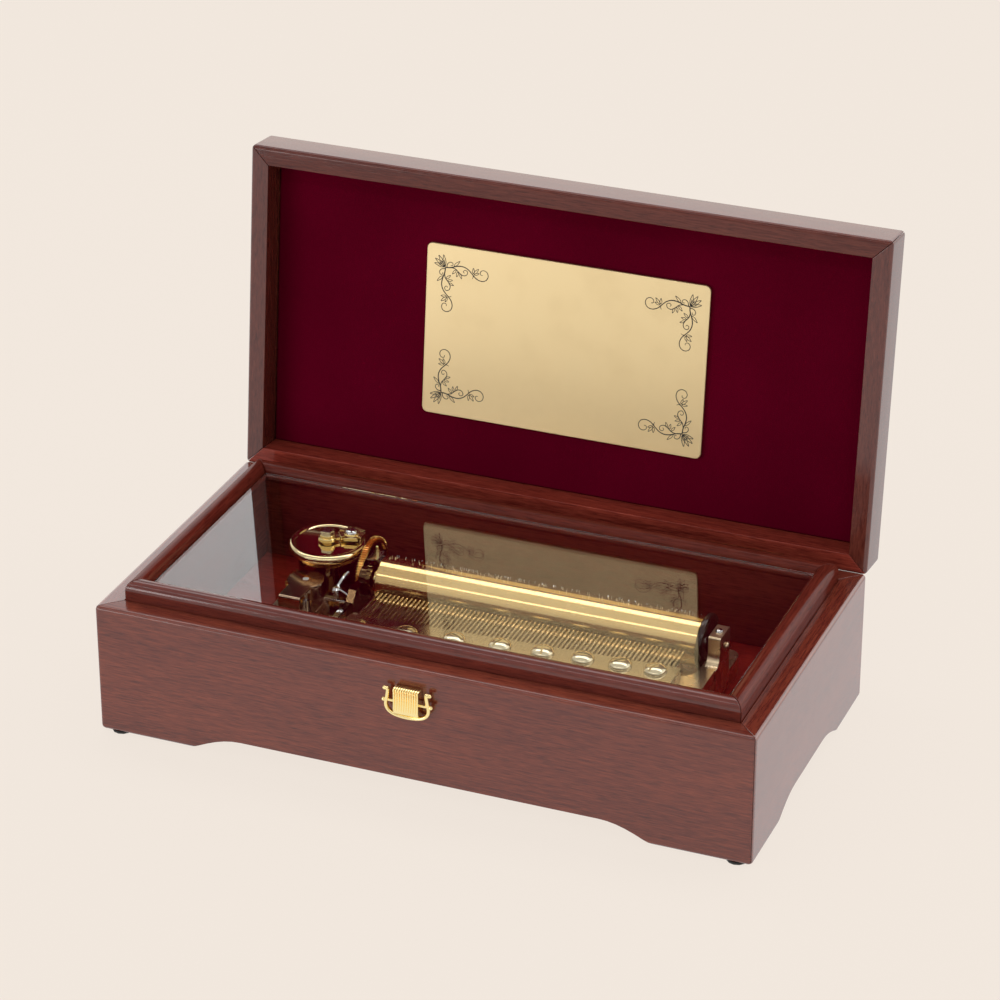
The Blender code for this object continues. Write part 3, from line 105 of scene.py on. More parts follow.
class Graph:
    """Adds nodes to one tree, sets their sockets and links them."""

    def __init__(self, tree: bpy.types.NodeTree) -> None:
        """Start from a tree, which is emptied."""
        self.tree = tree
        tree.nodes.clear()

    def give(self, target: Socket, value: Any) -> None:
        """Feed one input.

        Args:
            target: the input.
            value: a source socket or a value; a colour of three parts gets an alpha of 1.
        """
        if isinstance(value, Socket):
            self.tree.links.new(value, target)
        else:
            opaque = target.type == "RGBA" and len(value) == 3
            target.default_value = (*value, 1.0) if opaque else value

    def add(self, kind: str, sockets: dict[Any, Any] | None = None, **settings: Any) -> bpy.types.Node:
        """Add one node.

        Args:
            kind: the node's type name.
            sockets: value or source socket by input name or number.
            settings: the node's own properties.

        Returns:
            The new node.
        """
        node = self.tree.nodes.new(kind)
        for key, value in settings.items():
            setattr(node, key, value)
        for key, value in (sockets or {}).items():
            self.give(node.inputs[key], value)
        return node

    def out(self, kind: str, sockets: dict[Any, Any] | None = None, which: Any = 0,
            **settings: Any) -> Socket:
        """Add one node and return one of its outputs, by number or name."""
        return self.add(kind, sockets, **settings).outputs[which]

    def maths(self, operation: str, *values: Any) -> Socket:
        """Result of one Math node over values or sockets."""
        return self.out("ShaderNodeMath", dict(enumerate(values)), operation=operation)

    def span(self, value: Socket, low: float, high: float, to_low: float = 0, to_high: float = 1) -> Socket:
        """A value moved from one span to another, held at both ends."""
        return self.out("ShaderNodeMapRange", {"Value": value, "From Min": low, "From Max": high,
                                               "To Min": to_low, "To Max": to_high})

    def blend(self, factor: Any, low: Any, high: Any) -> Socket:
        """Colour between low and high, which are colours or sockets."""
        return self.out("ShaderNodeMix", {0: factor, 6: low, 7: high}, 2, data_type="RGBA")

    def shown(self) -> Socket:
        """Tell the rays that show a thing from those that light by it.

        Returns:
            1 for camera, glossy and transmission rays, and 0 for the light on the object.
        """
        rays = self.add("ShaderNodeLightPath").outputs
        seen = self.maths("MAXIMUM", rays["Is Camera Ray"], rays["Is Glossy Ray"])
        return self.maths("MAXIMUM", seen, rays["Is Transmission Ray"])


class Shader(Graph):
    """A material's tree with the patterns that the finishes share."""

    def __init__(self, name: str) -> None:
        """Make a material that ends in a Principled shader.

        Args:
            name: the material's name.
        """
        self.material = bpy.data.materials.new(name)
        self.material.use_nodes = True
        super().__init__(self.material.node_tree)
        self.surface = self.add("ShaderNodeBsdfPrincipled")
        self.output = self.add("ShaderNodeOutputMaterial", {"Surface": self.surface.outputs[0]})
        self.place = self.out("ShaderNodeTexCoord", which="Object")

    def noise(self, scale: float, stretch: Sequence[float] = (1, 1, 1), detail: float = 2,
              rough: float = 0.5, distort: float = 0) -> Socket:
        """Noise on Object coordinates.

        Args:
            scale: cells a metre.
            stretch: scale of each axis before the noise.
            detail: octaves.
            rough: weight of the finer octaves.
            distort: how far the pattern wanders.

        Returns:
            The factor socket.
        """
        spot = self.out("ShaderNodeMapping", {"Vector": self.place, "Scale": stretch})
        return self.out("ShaderNodeTexNoise", {"Vector": spot, "Scale": scale, "Detail": detail,
                                               "Roughness": rough, "Distortion": distort})

    def bump(self, height: Socket, depth: float, strength: float, **under: Socket) -> Socket:
        """Normal bent by a pattern of a depth in metres, from the Normal under it if one is given."""
        sockets = {"Height": height, "Distance": depth, "Strength": strength, **under}
        return self.out("ShaderNodeBump", sockets)

    def put(self, **sockets: Any) -> None:
        """Feed the Principled shader's inputs, written with _ for a space."""
        for key, value in sockets.items():
            self.give(self.surface.inputs[key.replace("_", " ")], value)

    def swap(self, factor: Socket, other: Socket) -> None:
        """Let another shader take the surface's place where the factor is 1."""
        mixed = self.out("ShaderNodeMixShader", {0: factor, 1: self.surface.outputs[0], 2: other})
        self.give(self.output.inputs["Surface"], mixed)


# Finishes


@dataclass(frozen=True)
class Finish:
    """One finish of the box."""

    name: str

    def dress(self, shader: Shader) -> None:
        """Fill the shader's tree."""
        raise NotImplementedError

    @cache
    def material(self) -> bpy.types.Material:
        """Make the finish's material at its first use.

        Returns:
            The material, which is one for all pieces.
        """
        shader = Shader(self.name + "_finish")
        self.dress(shader)
        return shader.material


@dataclass(frozen=True)
class LacqueredWood(Finish):
    """Mahogany under clear lacquer: streaks, fine fibres and open pores along the grain."""

    tones: tuple[Colour, Colour]
    grain: Axis
    gloss: float = 0.17
    coat_ior: float = 1.6
    coat: float = 1.0

    def dress(self, shader: Shader) -> None:
        """Fill the shader's tree.

        Args:
            shader: the tree.
        """
        dark, light = self.tones
        figure = shader.noise(48, self.grain.stretch(0.14), 3, 0.55, 0.5)
        streak = shader.noise(760, self.grain.stretch(0.05), 3, 0.6, 0.2)
        fibre = shader.noise(1700, self.grain.stretch(0.07), 3, 0.6)
        pores = shader.span(shader.noise(2300, self.grain.stretch(0.07), 1), 0.58, 0.68)
        tone = shader.maths("MULTIPLY_ADD", streak, 0.27, shader.maths("MULTIPLY", figure, 0.23))
        tone = shader.span(shader.maths("MULTIPLY_ADD", fibre, 0.5, tone), 0.36, 0.64)
        pore_colour = [part * 0.42 for part in dark]
        depth = shader.maths("MULTIPLY", pores, 0.4)
        colour = shader.blend(depth, shader.blend(tone, dark, light), pore_colour)
        relief = shader.maths("MULTIPLY_ADD", pores, -1.0, shader.maths("MULTIPLY", fibre, 0.3))
        ripple = shader.bump(shader.noise(95, detail=1), 0.4 * MM, 0.10)
        shader.put(Base_Color=colour, Roughness=shader.span(streak, 0.3, 0.7, 0.34, 0.5),
                   Specular_IOR_Level=0.0, Coat_Weight=self.coat, Coat_IOR=self.coat_ior,
                   Coat_Roughness=self.gloss, Normal=shader.bump(relief, 0.05 * MM, 0.5),
                   Coat_Normal=shader.bump(relief, 0.02 * MM, 0.25, Normal=ripple))


@dataclass(frozen=True)
class Velvet(Finish):
    """Short burgundy pile with a soft sheen, and painted shade in the pile's hollows."""

    colour: Colour
    sheen: Colour
    # between: colour of the painted shade in the pile's hollows
    between: Colour = (0.012, 0.0, 0.002)

    def dress(self, shader: Shader) -> None:
        """Fill the shader's tree.

        Args:
            shader: the tree.
        """
        nap, pile = shader.noise(14), shader.noise(3600)
        colour = shader.blend(shader.span(nap, 0.35, 0.65), [part * 0.8 for part in self.colour], self.colour)
        # Up to a quarter of the between colour is mixed in where the pile's bump is low: painted shade in the
        # hollows
        shader.put(Base_Color=shader.blend(shader.span(pile, 0.3, 0.7, 0.25, 0), colour, self.between),
                   Roughness=0.95, Specular_IOR_Level=0.0, Sheen_Weight=0.3, Sheen_Roughness=0.35,
                   Sheen_Tint=self.sheen, Normal=shader.bump(pile, 0.15 * MM, 0.6))


@dataclass(frozen=True)
class Metal(Finish):
    """Polished, turned or brushed metal, whose brushing runs long on the small scales' axes."""

    colour: Colour
    roughness: float
    brush: Sequence[float] = (1, 1, 1)
    lines: float = 0.0

    def dress(self, shader: Shader) -> None:
        """Fill the shader's tree.

        Args:
            shader: the tree.
        """
        wear = shader.noise(70)
        rough = shader.span(wear, 0.3, 0.7, self.roughness * 0.88, self.roughness * 1.15)
        duller = [part * 0.86 for part in self.colour]
        shader.put(Base_Color=shader.blend(shader.span(wear, 0.45, 0.75, 0, 0.22), self.colour, duller),
                   Metallic=1.0, Roughness=rough)
        if self.lines:
            shader.put(Normal=shader.bump(shader.noise(2600, self.brush), 0.02 * MM, self.lines))


@dataclass(frozen=True)
class Lacquer(Finish):
    """Moulded or painted parts, such as rubber feet, and the flange, whose dark brown is a painted reflection
    of the dark wood on its metal.
    """

    colour: Colour
    roughness: float
    coat: float = 0.0
    metallic: float = 0.0

    def dress(self, shader: Shader) -> None:
        """Fill the shader's tree.

        Args:
            shader: the tree.
        """
        grain = shader.noise(900, detail=3)
        lighter = [part * 1.5 + 0.003 for part in self.colour]
        rough = shader.span(grain, 0.3, 0.7, self.roughness * 0.85, self.roughness * 1.15)
        shader.put(Base_Color=shader.blend(shader.span(grain, 0.35, 0.7), self.colour, lighter),
                   Roughness=rough, Metallic=self.metallic, Coat_Weight=self.coat, Coat_Roughness=0.06,
                   Normal=shader.bump(grain, 0.03 * MM, 0.3))


@dataclass(frozen=True)
class ClearGlass(Finish):
    """A clear pane that lets lamp light through."""

    colour: Colour = (0.985, 0.995, 0.99)

    def dress(self, shader: Shader) -> None:
        """Fill the shader's tree.

        Args:
            shader: the tree.
        """
        shader.put(Base_Color=self.colour, Roughness=0.0, IOR=1.57, Transmission_Weight=1.0)
        shadow = shader.out("ShaderNodeLightPath", which="Is Shadow Ray")
        shader.swap(shadow, shader.out("ShaderNodeBsdfTransparent"))


CASE_TONES = ((0.100, 0.015, 0.011), (0.265, 0.055, 0.027))
LID_TONES = ((0.078, 0.012, 0.008), (0.165, 0.037, 0.023))
# Lighter copy of the lid tones for the hinge rail: painted light on its face, which is lit from above with
# the lid open
LIT_RAIL_TONES = ((0.165, 0.018, 0.013), (0.430, 0.072, 0.044))
RED_TONES = ((0.20, 0.014, 0.008), (0.37, 0.030, 0.018))
BEAD_TONES = ((0.084, 0.012, 0.008), (0.180, 0.030, 0.018))

WOOD_X = LacqueredWood("mahogany_long", CASE_TONES, Axis.X)
WOOD_Y = LacqueredWood("mahogany_side", CASE_TONES, Axis.Y, 0.14, 2.1)
WOOD_Z = LacqueredWood("mahogany_lid_side", LID_TONES, Axis.Z, 0.14, 1.58)
LID_X = LacqueredWood("mahogany_lid_long", LID_TONES, Axis.X, 0.14, 1.42)
LIT_HINGE_RAIL = LacqueredWood("mahogany_hinge_side", LIT_RAIL_TONES, Axis.X, 0.2, 1.5, 0.5)
RED_X = LacqueredWood("red_lacquer_long", RED_TONES, Axis.X, 0.2, 1.6, 0.3)
BEAD_X = LacqueredWood("bead_long", BEAD_TONES, Axis.X, 0.10, 1.6, 0.9)
BEAD_BACK = LacqueredWood("bead_back", BEAD_TONES, Axis.X, 0.2, 1.5, 0.25)
BEAD_Y = LacqueredWood("bead_side", BEAD_TONES, Axis.Y, 0.10, 1.6, 0.35)
VELVET = Velvet("burgundy_velvet", (0.134, 0.0010, 0.0152), (0.50, 0.002, 0.07))
DRUM_BRASS = Metal("turned_brass", (1.0, 0.69, 0.30), 0.13, (1, 0.02, 0.02), 0.12)
BRASS = Metal("polished_brass", (0.93, 0.70, 0.34), 0.10)
GILT = Metal("gilt", (1.0, 0.80, 0.38), 0.16)
PALE_GILT = Metal("pale_gilt", (0.98, 0.78, 0.44), 0.07)
GEAR_BRASS = Metal("gear_brass", (0.92, 0.52, 0.15), 0.22)
SATIN_BRASS = Metal("satin_brass", (0.80, 0.62, 0.40), 0.27, (1, 1, 0.05), 0.25)
# Darkened copy of brass: painted dark reflection on the governor bracket and wheel
DIMMED_BRACKET_BRASS = Metal("bracket_brass", (0.52, 0.35, 0.24), 0.18)
# Brass darkened as painted shade and painted dark reflection, for the barrel body, the cylinder gear and the
# great wheel's web
SHADED_BRASS = Metal("dark_bronze", (0.26, 0.16, 0.07), 0.07)
# Brass near black: painted dark reflection on the bearing bracket's polished faces
BRASS_PAINTED_BLACK = Metal("black_bronze", (0.13, 0.075, 0.035), 0.06)
PLAQUE_GOLD = Metal("plaque_gold", (0.80, 0.62, 0.345), 0.40, (0.04, 1, 1), 0.08)
# Steel tinted brown and darkened: painted reflection of the burgundy lining on the comb
COMB_STEEL_TINTED = Metal("comb_steel", (0.58, 0.50, 0.38), 0.12, (1, 0.03, 1), 0.12)
STEEL = Metal("polished_steel", (0.80, 0.79, 0.78), 0.08)
SATIN_STEEL = Metal("satin_steel", (0.72, 0.70, 0.68), 0.18)
SCREW_STEEL = Metal("screw_nickel", (0.74, 0.65, 0.46), 0.13)
PIVOT_STEEL = Lacquer("pivot_steel", (0.50, 0.49, 0.47), 0.4)
# The flange's dark brown is a painted reflection of the dark wood
FLANGE_PAINTED_DARK = Lacquer("flange_brown", (0.020, 0.010, 0.006), 0.20, 0.45, 0.3)
RUBBER = Lacquer("black_rubber", (0.012, 0.012, 0.012), 0.65)
INK = Lacquer("engraving_ink", (0.028, 0.022, 0.016), 0.5)
GLASS = ClearGlass("clear_glass")


# Mesh work


def link(name: str, data: Any) -> Object:
    """Make an object at the origin for a mesh, lamp or camera.

    Args:
        name: the object's name.
        data: what it holds.

    Returns:
        The object, linked into the scene.
    """
    made = bpy.data.objects.new(name, data)
    bpy.context.scene.collection.objects.link(made)
    return made


def shade(bm: BMesh, limit: float) -> None:
    """Smooth the faces, with sharp edges past an angle.

    Args:
        bm: the mesh.
        limit: the angle in degrees.
    """
    for face in bm.faces:
        face.smooth = True
    for edge in bm.edges:
        edge.smooth = len(edge.link_faces) != 2 or edge.calc_face_angle(0) < math.radians(limit)


def from_bmesh(name: str, bm: BMesh, limit: float = 35.0) -> Object:
    """Turn a bmesh into a shaded object.

    Args:
        name: the object's name.
        bm: the mesh, which is freed.
        limit: smoothing angle in degrees.

    Returns:
        The object.
    """
    shade(bm, limit)
    mesh = bpy.data.meshes.new(name)
    bm.to_mesh(mesh)
    bm.free()
    return link(name, mesh)


def plain(made: Object) -> Object:
    """Replace an object's mesh by its evaluated one and drop its modifiers.

    Args:
        made: the object.

    Returns:
        The same object.
    """
    bpy.context.view_layer.update()
    evaluated = made.evaluated_get(bpy.context.evaluated_depsgraph_get())
    mesh = bpy.data.meshes.new_from_object(evaluated)
    made.modifiers.clear()
    old, made.data = made.data, mesh
    if old.users == 0:
        bpy.data.meshes.remove(old)
    mesh.name = made.name
    return made


def weighed(made: Object) -> Object:
    """Let large faces lead the shading, so that small roundings don't bend it.

    Args:
        made: the object.

    Returns:
        The same object, with no modifier left.
    """
    weigh = made.modifiers.new("weigh", "WEIGHTED_NORMAL")
    weigh.keep_sharp = True
    weigh.weight = 100
    return plain(made)


def skin(bm: BMesh, rings: Sequence[Sequence[bmesh.types.BMVert]]) -> None:
    """Lay faces between neighbouring rings, where a ring of one point is a pole.

    Args:
        bm: the mesh.
        rings: its rings of vertices.
    """
    for low, high in zip(rings, rings[1:]):
        count = max(len(low), len(high))
        for step in range(count):
            after = (step + 1) % count
            corners = (low[step % len(low)], low[after % len(low)], high[after % len(high)],
                       high[step % len(high)])
            kept = list(dict.fromkeys(corners))
            if len(kept) > 2:
                bm.faces.new(kept)


def add_tube(bm: BMesh, rings: Sequence[Sequence[Any]]) -> None:
    """Add a skin over rings of points, with a face on each end.

    Args:
        bm: the mesh that takes it.
        rings: the rings of points, alike in number.
    """
    made = [[bm.verts.new(spot) for spot in ring] for ring in rings]
    skin(bm, made)
    bm.faces.new(made[0])
    bm.faces.new(list(reversed(made[-1])))


def tube(rings: Sequence[Sequence[Any]]) -> BMesh:
    """A closed mesh over rings of points.

    Args:
        rings: the rings of points, alike in number.

    Returns:
        The mesh.
    """
    bm = bmesh.new()
    add_tube(bm, rings)
    bmesh.ops.recalc_face_normals(bm, faces=bm.faces)
    return bm


def prism(outline: Sequence[Point2], low: float, high: float) -> BMesh:
    """A closed mesh that runs from low to high on X over an outline of (y, z) points."""
    return tube([[(x, y, z) for y, z in outline] for x in (low, high)])


def sweep(path: Sequence[Vector], radius: float, flat: float = 1.0, around: int = 14) -> BMesh:
    """A rod along a path, which may be flattened to a strap whose full width is on Y.

    Args:
        path: the points of the centre line.
        radius: half the rod's width.
        flat: thickness across, as a share of the width.
        around: facets round it.

    Returns:
        The closed mesh.
    """
    rings = []
    for index, spot in enumerate(path):
        ahead = (path[min(index + 1, len(path) - 1)] - path[max(index - 1, 0)]).normalized()
        wide = (Vector((0, 1, 0)) - ahead * ahead.y).normalized()
        thin = ahead.cross(wide) * flat
        angles = [2 * math.pi * (step + 0.5) / around for step in range(around)]
        rings.append([spot + (wide * math.cos(angle) + thin * math.sin(angle)) * radius for angle in angles])
    return tube(rings)


def block(size: Sequence[float], place: Vector, turn: float = 0.0) -> BMesh:
    """A block round a place.

    Args:
        size: its three lengths.
        place: its middle.
        turn: its turn about Z, in radians.

    Returns:
        The mesh.
    """
    bm = bmesh.new()
    bmesh.ops.create_cube(bm, size=1.0)
    aim = Matrix.Translation(place) @ Matrix.Rotation(turn, 4, "Z") @ Matrix.Diagonal((*size, 1))
    bmesh.ops.transform(bm, matrix=aim, verts=bm.verts)
    return bm


def ball(centre: Vector, radius: float) -> BMesh:
    """A ball round a centre.

    Args:
        centre: its middle.
        radius: its radius.

    Returns:
        The mesh.
    """
    bm = bmesh.new()
    bmesh.ops.create_uvsphere(bm, u_segments=20, v_segments=10, radius=radius,
                              matrix=Matrix.Translation(centre))
    return bm


def merged(name: str, parts: Sequence[BMesh], limit: float) -> Object:
    """Gather several meshes in one object.

    Args:
        name: the object's name.
        parts: the meshes, which are freed.
        limit: smoothing angle in degrees.

    Returns:
        The object.
    """
    whole = bmesh.new()
    for part in parts:
        mesh = bpy.data.meshes.new(name)
        part.to_mesh(mesh)
        part.free()
        whole.from_mesh(mesh)
        bpy.data.meshes.remove(mesh)
    return from_bmesh(name, whole, limit)


def lathe(name: str, profile: Sequence[Point2], axis: Axis, centre: Vector, around: int,
          limit: float = 30.0) -> Object:
    """Turn a profile round an axis.

    Args:
        name: the object's name.
        profile: (radius, place along the axis) pairs in metres, closed where a radius is 0.
        axis: the axis of the turned piece.
        centre: a point that the axis passes through.
        around: facets in a turn.
        limit: smoothing angle in degrees.

    Returns:
        The turned object.
    """
    bm = bmesh.new()
    third = axis.value
    first, second = (third + 1) % 3, (third + 2) % 3
    rings = []
    for radius, along in profile:
        ring = []
        for step in range(around if radius > 0 else 1):
            angle = 2 * math.pi * step / around
            spot = Vector((0, 0, 0))
            spot[first] = centre[first] + radius * math.cos(angle)
            spot[second] = centre[second] + radius * math.sin(angle)
            spot[third] = along
            ring.append(bm.verts.new(spot))
        rings.append(ring)
    skin(bm, rings)
    bmesh.ops.remove_doubles(bm, verts=bm.verts, dist=1e-7)
    bmesh.ops.recalc_face_normals(bm, faces=bm.faces)
    return weighed(from_bmesh(name, bm, limit))


def steps_from(base: float, *steps: Point2) -> list[Point2]:
    """A profile from (radius, distance past the base) pairs in millimetres."""
    return [(radius * MM, base + past * MM) for radius, past in steps]


def washer(inner: float, outer: float, low: float, high: float, ease: float = 0.0) -> list[Point2]:
    """Closed profile of a turned ring, whose outer corners may be eased."""
    corners = [(outer - ease, low), (outer, low + ease), (outer, high - ease), (outer - ease, high)]
    return [(inner, low), *dict.fromkeys(corners), (inner, high), (inner, low)]


def smooth_path(points: Sequence[Point2], steps: int) -> list[Point2]:
    """Smooth path through the points.

    Args:
        points: the points that it passes.
        steps: pieces between two of them.

    Returns:
        The denser path.
    """
    path = []
    last = len(points) - 1
    for index in range(last):
        a, b, c, d = (Vector(points[max(0, min(last, index + shift))]) for shift in (-1, 0, 1, 2))
        for step in range(steps):
            t = step / steps
            path.append(tuple(b + ((c - a) * t + (2 * a - 5 * b + 4 * c - d) * t ** 2
                                   + (3 * b - a - 3 * c + d) * t ** 3) / 2))
    return [*path, tuple(points[-1])]


def eased(node: str, width: float, segments: int, angle: float) -> Object:
    """Copy a CAD solid with its edges eased and its curves shaded smooth.

    Args:
        node: the CAD node.
        width: the easing in metres.
        segments: steps across it.
        angle: edges sharper than this, in degrees, are eased.

    Returns:
        The copy, with no modifier left.
    """
    bm = bmesh.new()
    bm.from_mesh(bpy.data.objects[node].data)
    bmesh.ops.remove_doubles(bm, verts=bm.verts, dist=2e-6)
    bmesh.ops.dissolve_limit(bm, angle_limit=math.radians(0.6), verts=bm.verts, edges=bm.edges)
    made = from_bmesh(node + "_finished", bm, angle)
    bevel = made.modifiers.new("ease", "BEVEL")
    bevel.width = width
    bevel.segments = segments
    bevel.limit_method = "ANGLE"
    bevel.angle_limit = math.radians(angle)
    return weighed(made)


def slotted_screw(name: str, radius: float, height: float, slot: float, around: int) -> Object:
    """A domed screw head with a cut slot, standing on the origin and facing +Z.

    Args:
        name: the object's name.
        radius: the head's radius.
        height: the dome's height.
        slot: the slot's width.
        around: facets round the head.

    Returns:
        The head, as a shape for the seat tree to repeat.
    """
    shares = ((0.0, 1.0), (0.30, 0.98), (0.55, 0.88), (0.76, 0.68), (0.91, 0.42), (0.985, 0.18),
              (1.0, 0.06), (0.985, -0.12), (0.0, -0.12))
    dome = [(radius * across, height * up) for across, up in shares]
    head = lathe(name, dome, Axis.Z, Vector((0, 0, 0)), around, 35)
    cutter = from_bmesh(name + "_cutter", block((slot, radius * 2.4, height), UP * height))
    cut = head.modifiers.new("slot", "BOOLEAN")
    cut.operation = "DIFFERENCE"
    cut.solver = "EXACT"
    cut.object = cutter
    plain(head)
    bpy.data.objects.remove(cutter)
    bm = bmesh.new()
    bm.from_mesh(head.data)
    shade(bm, 38)
    bm.to_mesh(head.data)
    bm.free()
    return head


# Repeats


class RepeatTree(Graph):
    """A Geometry Nodes tree with named inputs that ends in Realize Instances and Set Material."""

    def __init__(self, name: str, **kinds: str) -> None:
        """Make the tree's interface.

        Args:
            name: the tree's name.
            kinds: the socket kind of each input after the geometry, by its name with _ for a space.
        """
        tree = bpy.data.node_groups.new(name, "GeometryNodeTree")
        super().__init__(tree)
        for title, kind in {"Geometry": "Geometry", **kinds, "Material": "Material"}.items():
            tree.interface.new_socket(title.replace("_", " "), in_out="INPUT",
                                      socket_type="NodeSocket" + kind)
        tree.interface.new_socket("Geometry", in_out="OUTPUT", socket_type="NodeSocketGeometry")
        self.given = self.add("NodeGroupInput").outputs

    def close(self, **sockets: Socket) -> RepeatTree:
        """Set instances on points and send them out, realized and with their material.

        Args:
            sockets: the inputs of Instance on Points.

        Returns:
            The finished tree.
        """
        instances = self.out("GeometryNodeInstanceOnPoints", sockets)
        solid = self.out("GeometryNodeRealizeInstances", {0: instances})
        sockets = {"Geometry": solid, "Material": self.given["Material"]}
        self.add("NodeGroupOutput", {0: self.out("GeometryNodeSetMaterial", sockets)})
        return self

    def run(self, base: Object, finish: Finish, **values: Any) -> Object:
        """Run the tree on an object and keep the result as a plain mesh.

        Args:
            base: the object whose mesh goes in.
            finish: the finish of the result.
            values: the inputs by name, with _ for a space.

        Returns:
            The same object with the tree's mesh.
        """
        modifier = base.modifiers.new(self.tree.name, "NODES")
        modifier.node_group = self.tree
        values["Material"] = finish.material()
        for item in self.tree.interface.items_tree:
            key = item.name.replace(" ", "_")
            if item.in_out == "INPUT" and key in values:
                modifier[item.identifier] = values[key]
        return plain(base)


def seat_tree() -> RepeatTree:
    """Sets one shape on each point, facing the point's "facing" and turned by its "turn".

    Returns:
        The tree.
    """
    tree = RepeatTree("set_on_points", Shape="Object")
    shape = tree.out("GeometryNodeObjectInfo", {"Object": tree.given["Shape"]}, "Geometry")
    named = "GeometryNodeInputNamedAttribute"
    facing = tree.out(named, {"Name": "facing"}, data_type="FLOAT_VECTOR")
    turn = tree.out(named, {"Name": "turn"}, data_type="FLOAT")
    spin = tree.out("FunctionNodeAxisAngleToRotation", {"Axis": (0, 0, 1), "Angle": turn})
    aim = tree.out("FunctionNodeAlignRotationToVector", {"Vector": facing}, axis="Z")
    both = tree.out("FunctionNodeRotateRotation", {0: aim, 1: spin}, rotation_space="LOCAL")
    return tree.close(Points=tree.given["Geometry"], Instance=shape, Rotation=both)


def row_tree() -> RepeatTree:
    """Sets the base's own shape in an even row, such as the reeds of the front fitting.

    Returns:
        The tree.
    """
    tree = RepeatTree("even_row", Count="Int", Start="Vector", Step="Vector")
    given = tree.given
    line = tree.out("GeometryNodeMeshLine", {"Count": given["Count"], "Start Location": given["Start"],
                                             "Offset": given["Step"]})
    return tree.close(Points=line, Instance=given["Geometry"])


def pin_tree() -> RepeatTree:
    """Sets pins on a drum: each stands on one tooth's track, at an angle of its own.

    Returns:
        The tree.
    """
    tree = RepeatTree("drum_pins", Pins="Int", Teeth="Int", First="Float", Pitch="Float", Track="Float",
                      Drum_Radius="Float", Pin_Radius="Float", Pin_Height="Float", Axis_Place="Vector",
                      Seed="Int")
    given = tree.given

    def chance(kind: str, low: Any, high: Any, offset: int) -> Socket:
        """A random number a pin, whose seed is the tree's plus an offset.

        Args:
            kind: FLOAT or INT.
            low: the lowest value.
            high: the highest value.
            offset: what the seed gains.

        Returns:
            The value socket.
        """
        lowest, result = {"FLOAT": (2, 1), "INT": (4, 2)}[kind]
        sockets = {lowest: low, lowest + 1: high, 8: tree.maths("ADD", given["Seed"], offset)}
        return tree.out("FunctionNodeRandomValue", sockets, result, data_type=kind)

    tooth = chance("INT", 0, tree.maths("SUBTRACT", given["Teeth"], 1), 1)
    track = chance("INT", -1, 1, 2)
    angle = chance("FLOAT", 0.0, 2 * math.pi, 3)
    along = tree.maths("MULTIPLY_ADD", tooth, given["Pitch"], given["First"])
    along = tree.maths("MULTIPLY_ADD", track, given["Track"], along)
    outward = tree.out("ShaderNodeCombineXYZ", {1: tree.maths("COSINE", angle), 2: tree.maths("SINE", angle)})
    reach = tree.maths("MULTIPLY_ADD", given["Pin Height"], 0.4, given["Drum Radius"])
    arm = tree.out("ShaderNodeVectorMath", {0: outward, 3: reach}, operation="SCALE")
    spot = tree.out("ShaderNodeVectorMath", {0: arm, 1: tree.out("ShaderNodeCombineXYZ", {0: along})})
    spot = tree.out("ShaderNodeVectorMath", {0: spot, 1: given["Axis Place"]})
    points = tree.out("GeometryNodePoints", {"Count": given["Pins"]})
    placed = tree.out("GeometryNodeSetPosition", {"Geometry": points, "Position": spot})
    aim = tree.out("FunctionNodeAlignRotationToVector", {"Vector": outward}, axis="Z")
    pin = tree.out("GeometryNodeMeshCylinder", {"Vertices": 6, "Radius": given["Pin Radius"],
                                                "Depth": given["Pin Height"]})
    return tree.close(Points=placed, Instance=pin, Rotation=aim)


# The workshop


class Workshop:
    """Holds the frame and puts finished pieces on their bodies."""

    def __init__(self, frame: dict[str, Any]) -> None:
        """Read where each node belongs.
        """
        self.frame = frame
        bodies = frame["record"]["behaviour"]["bodies"]
        self.body_of = {node: body for body, nodes in bodies.items() for node in nodes}
        self.slot_of = {part["node"]: part["material_slot"] for part in frame["record"]["subparts"]}
        self.made = 0

    def box(self, node: str) -> tuple[Vector, Vector]:
        """Lowest and highest corner of a CAD node, in metres."""
        low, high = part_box(node)
        return Vector(low), Vector(high)

    def middle(self, node: str) -> Vector:
        """Middle of a CAD node's box, in metres."""
        low, high = self.box(node)
        return (low + high) / 2

    def put(self, piece: Object, finish: Finish, *nodes: str, stands_for: bool = True) -> Object:
        """Dress a piece, hang it on its body and hide the nodes that it stands for.

        Args:
            piece: the finished object.
            finish: its finish.
            nodes: CAD nodes; the first gives the body.
            stands_for: whether the piece replaces the nodes.

        Returns:
            The piece.
        """
        if not piece.data.materials:
            piece.data.materials.append(finish.material())
        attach(piece, self.body_of[nodes[0]])
        if stands_for:
            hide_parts(*nodes)
        self.made += 1
        LOG.info("%s rides on %s", piece.name, self.body_of[nodes[0]])
        return piece

    def ease(self, node: str, finish: Finish, width: float = 0.3 * MM, segments: int = 2,
             angle: float = 34.0) -> Object:
        """Put an eased copy of a CAD node, as eased() makes it, in the node's place."""
        return self.put(eased(node, width, segments, angle), finish, node)

    def seat(self, name: str, shape: Object, seats: Sequence[Seat], finish: Finish, *nodes: str,
             stands_for: bool = True) -> None:
        """Repeat a shape on seats as one piece and put it.

        Args:
            name: the piece's name.
            shape: the shape, which is removed.
            seats: place, facing and turn in radians of each copy.
            finish: the piece's finish.
            nodes: CAD nodes, as for put().
            stands_for: whether the piece replaces them.
        """
        spots, facings, turns = zip(*seats)
        mesh = bpy.data.meshes.new(name)
        mesh.from_pydata(spots, [], [])
        facing = mesh.attributes.new("facing", "FLOAT_VECTOR", "POINT")
        facing.data.foreach_set("vector", [part for look in facings for part in look])
        mesh.attributes.new("turn", "FLOAT", "POINT")
        mesh.attributes["turn"].data.foreach_set("value", turns)
        piece = seat_tree().run(link(name, mesh), finish, Shape=shape)
        bpy.data.objects.remove(shape)
        self.put(piece, finish, *nodes, stands_for=stands_for)


# Case and lid


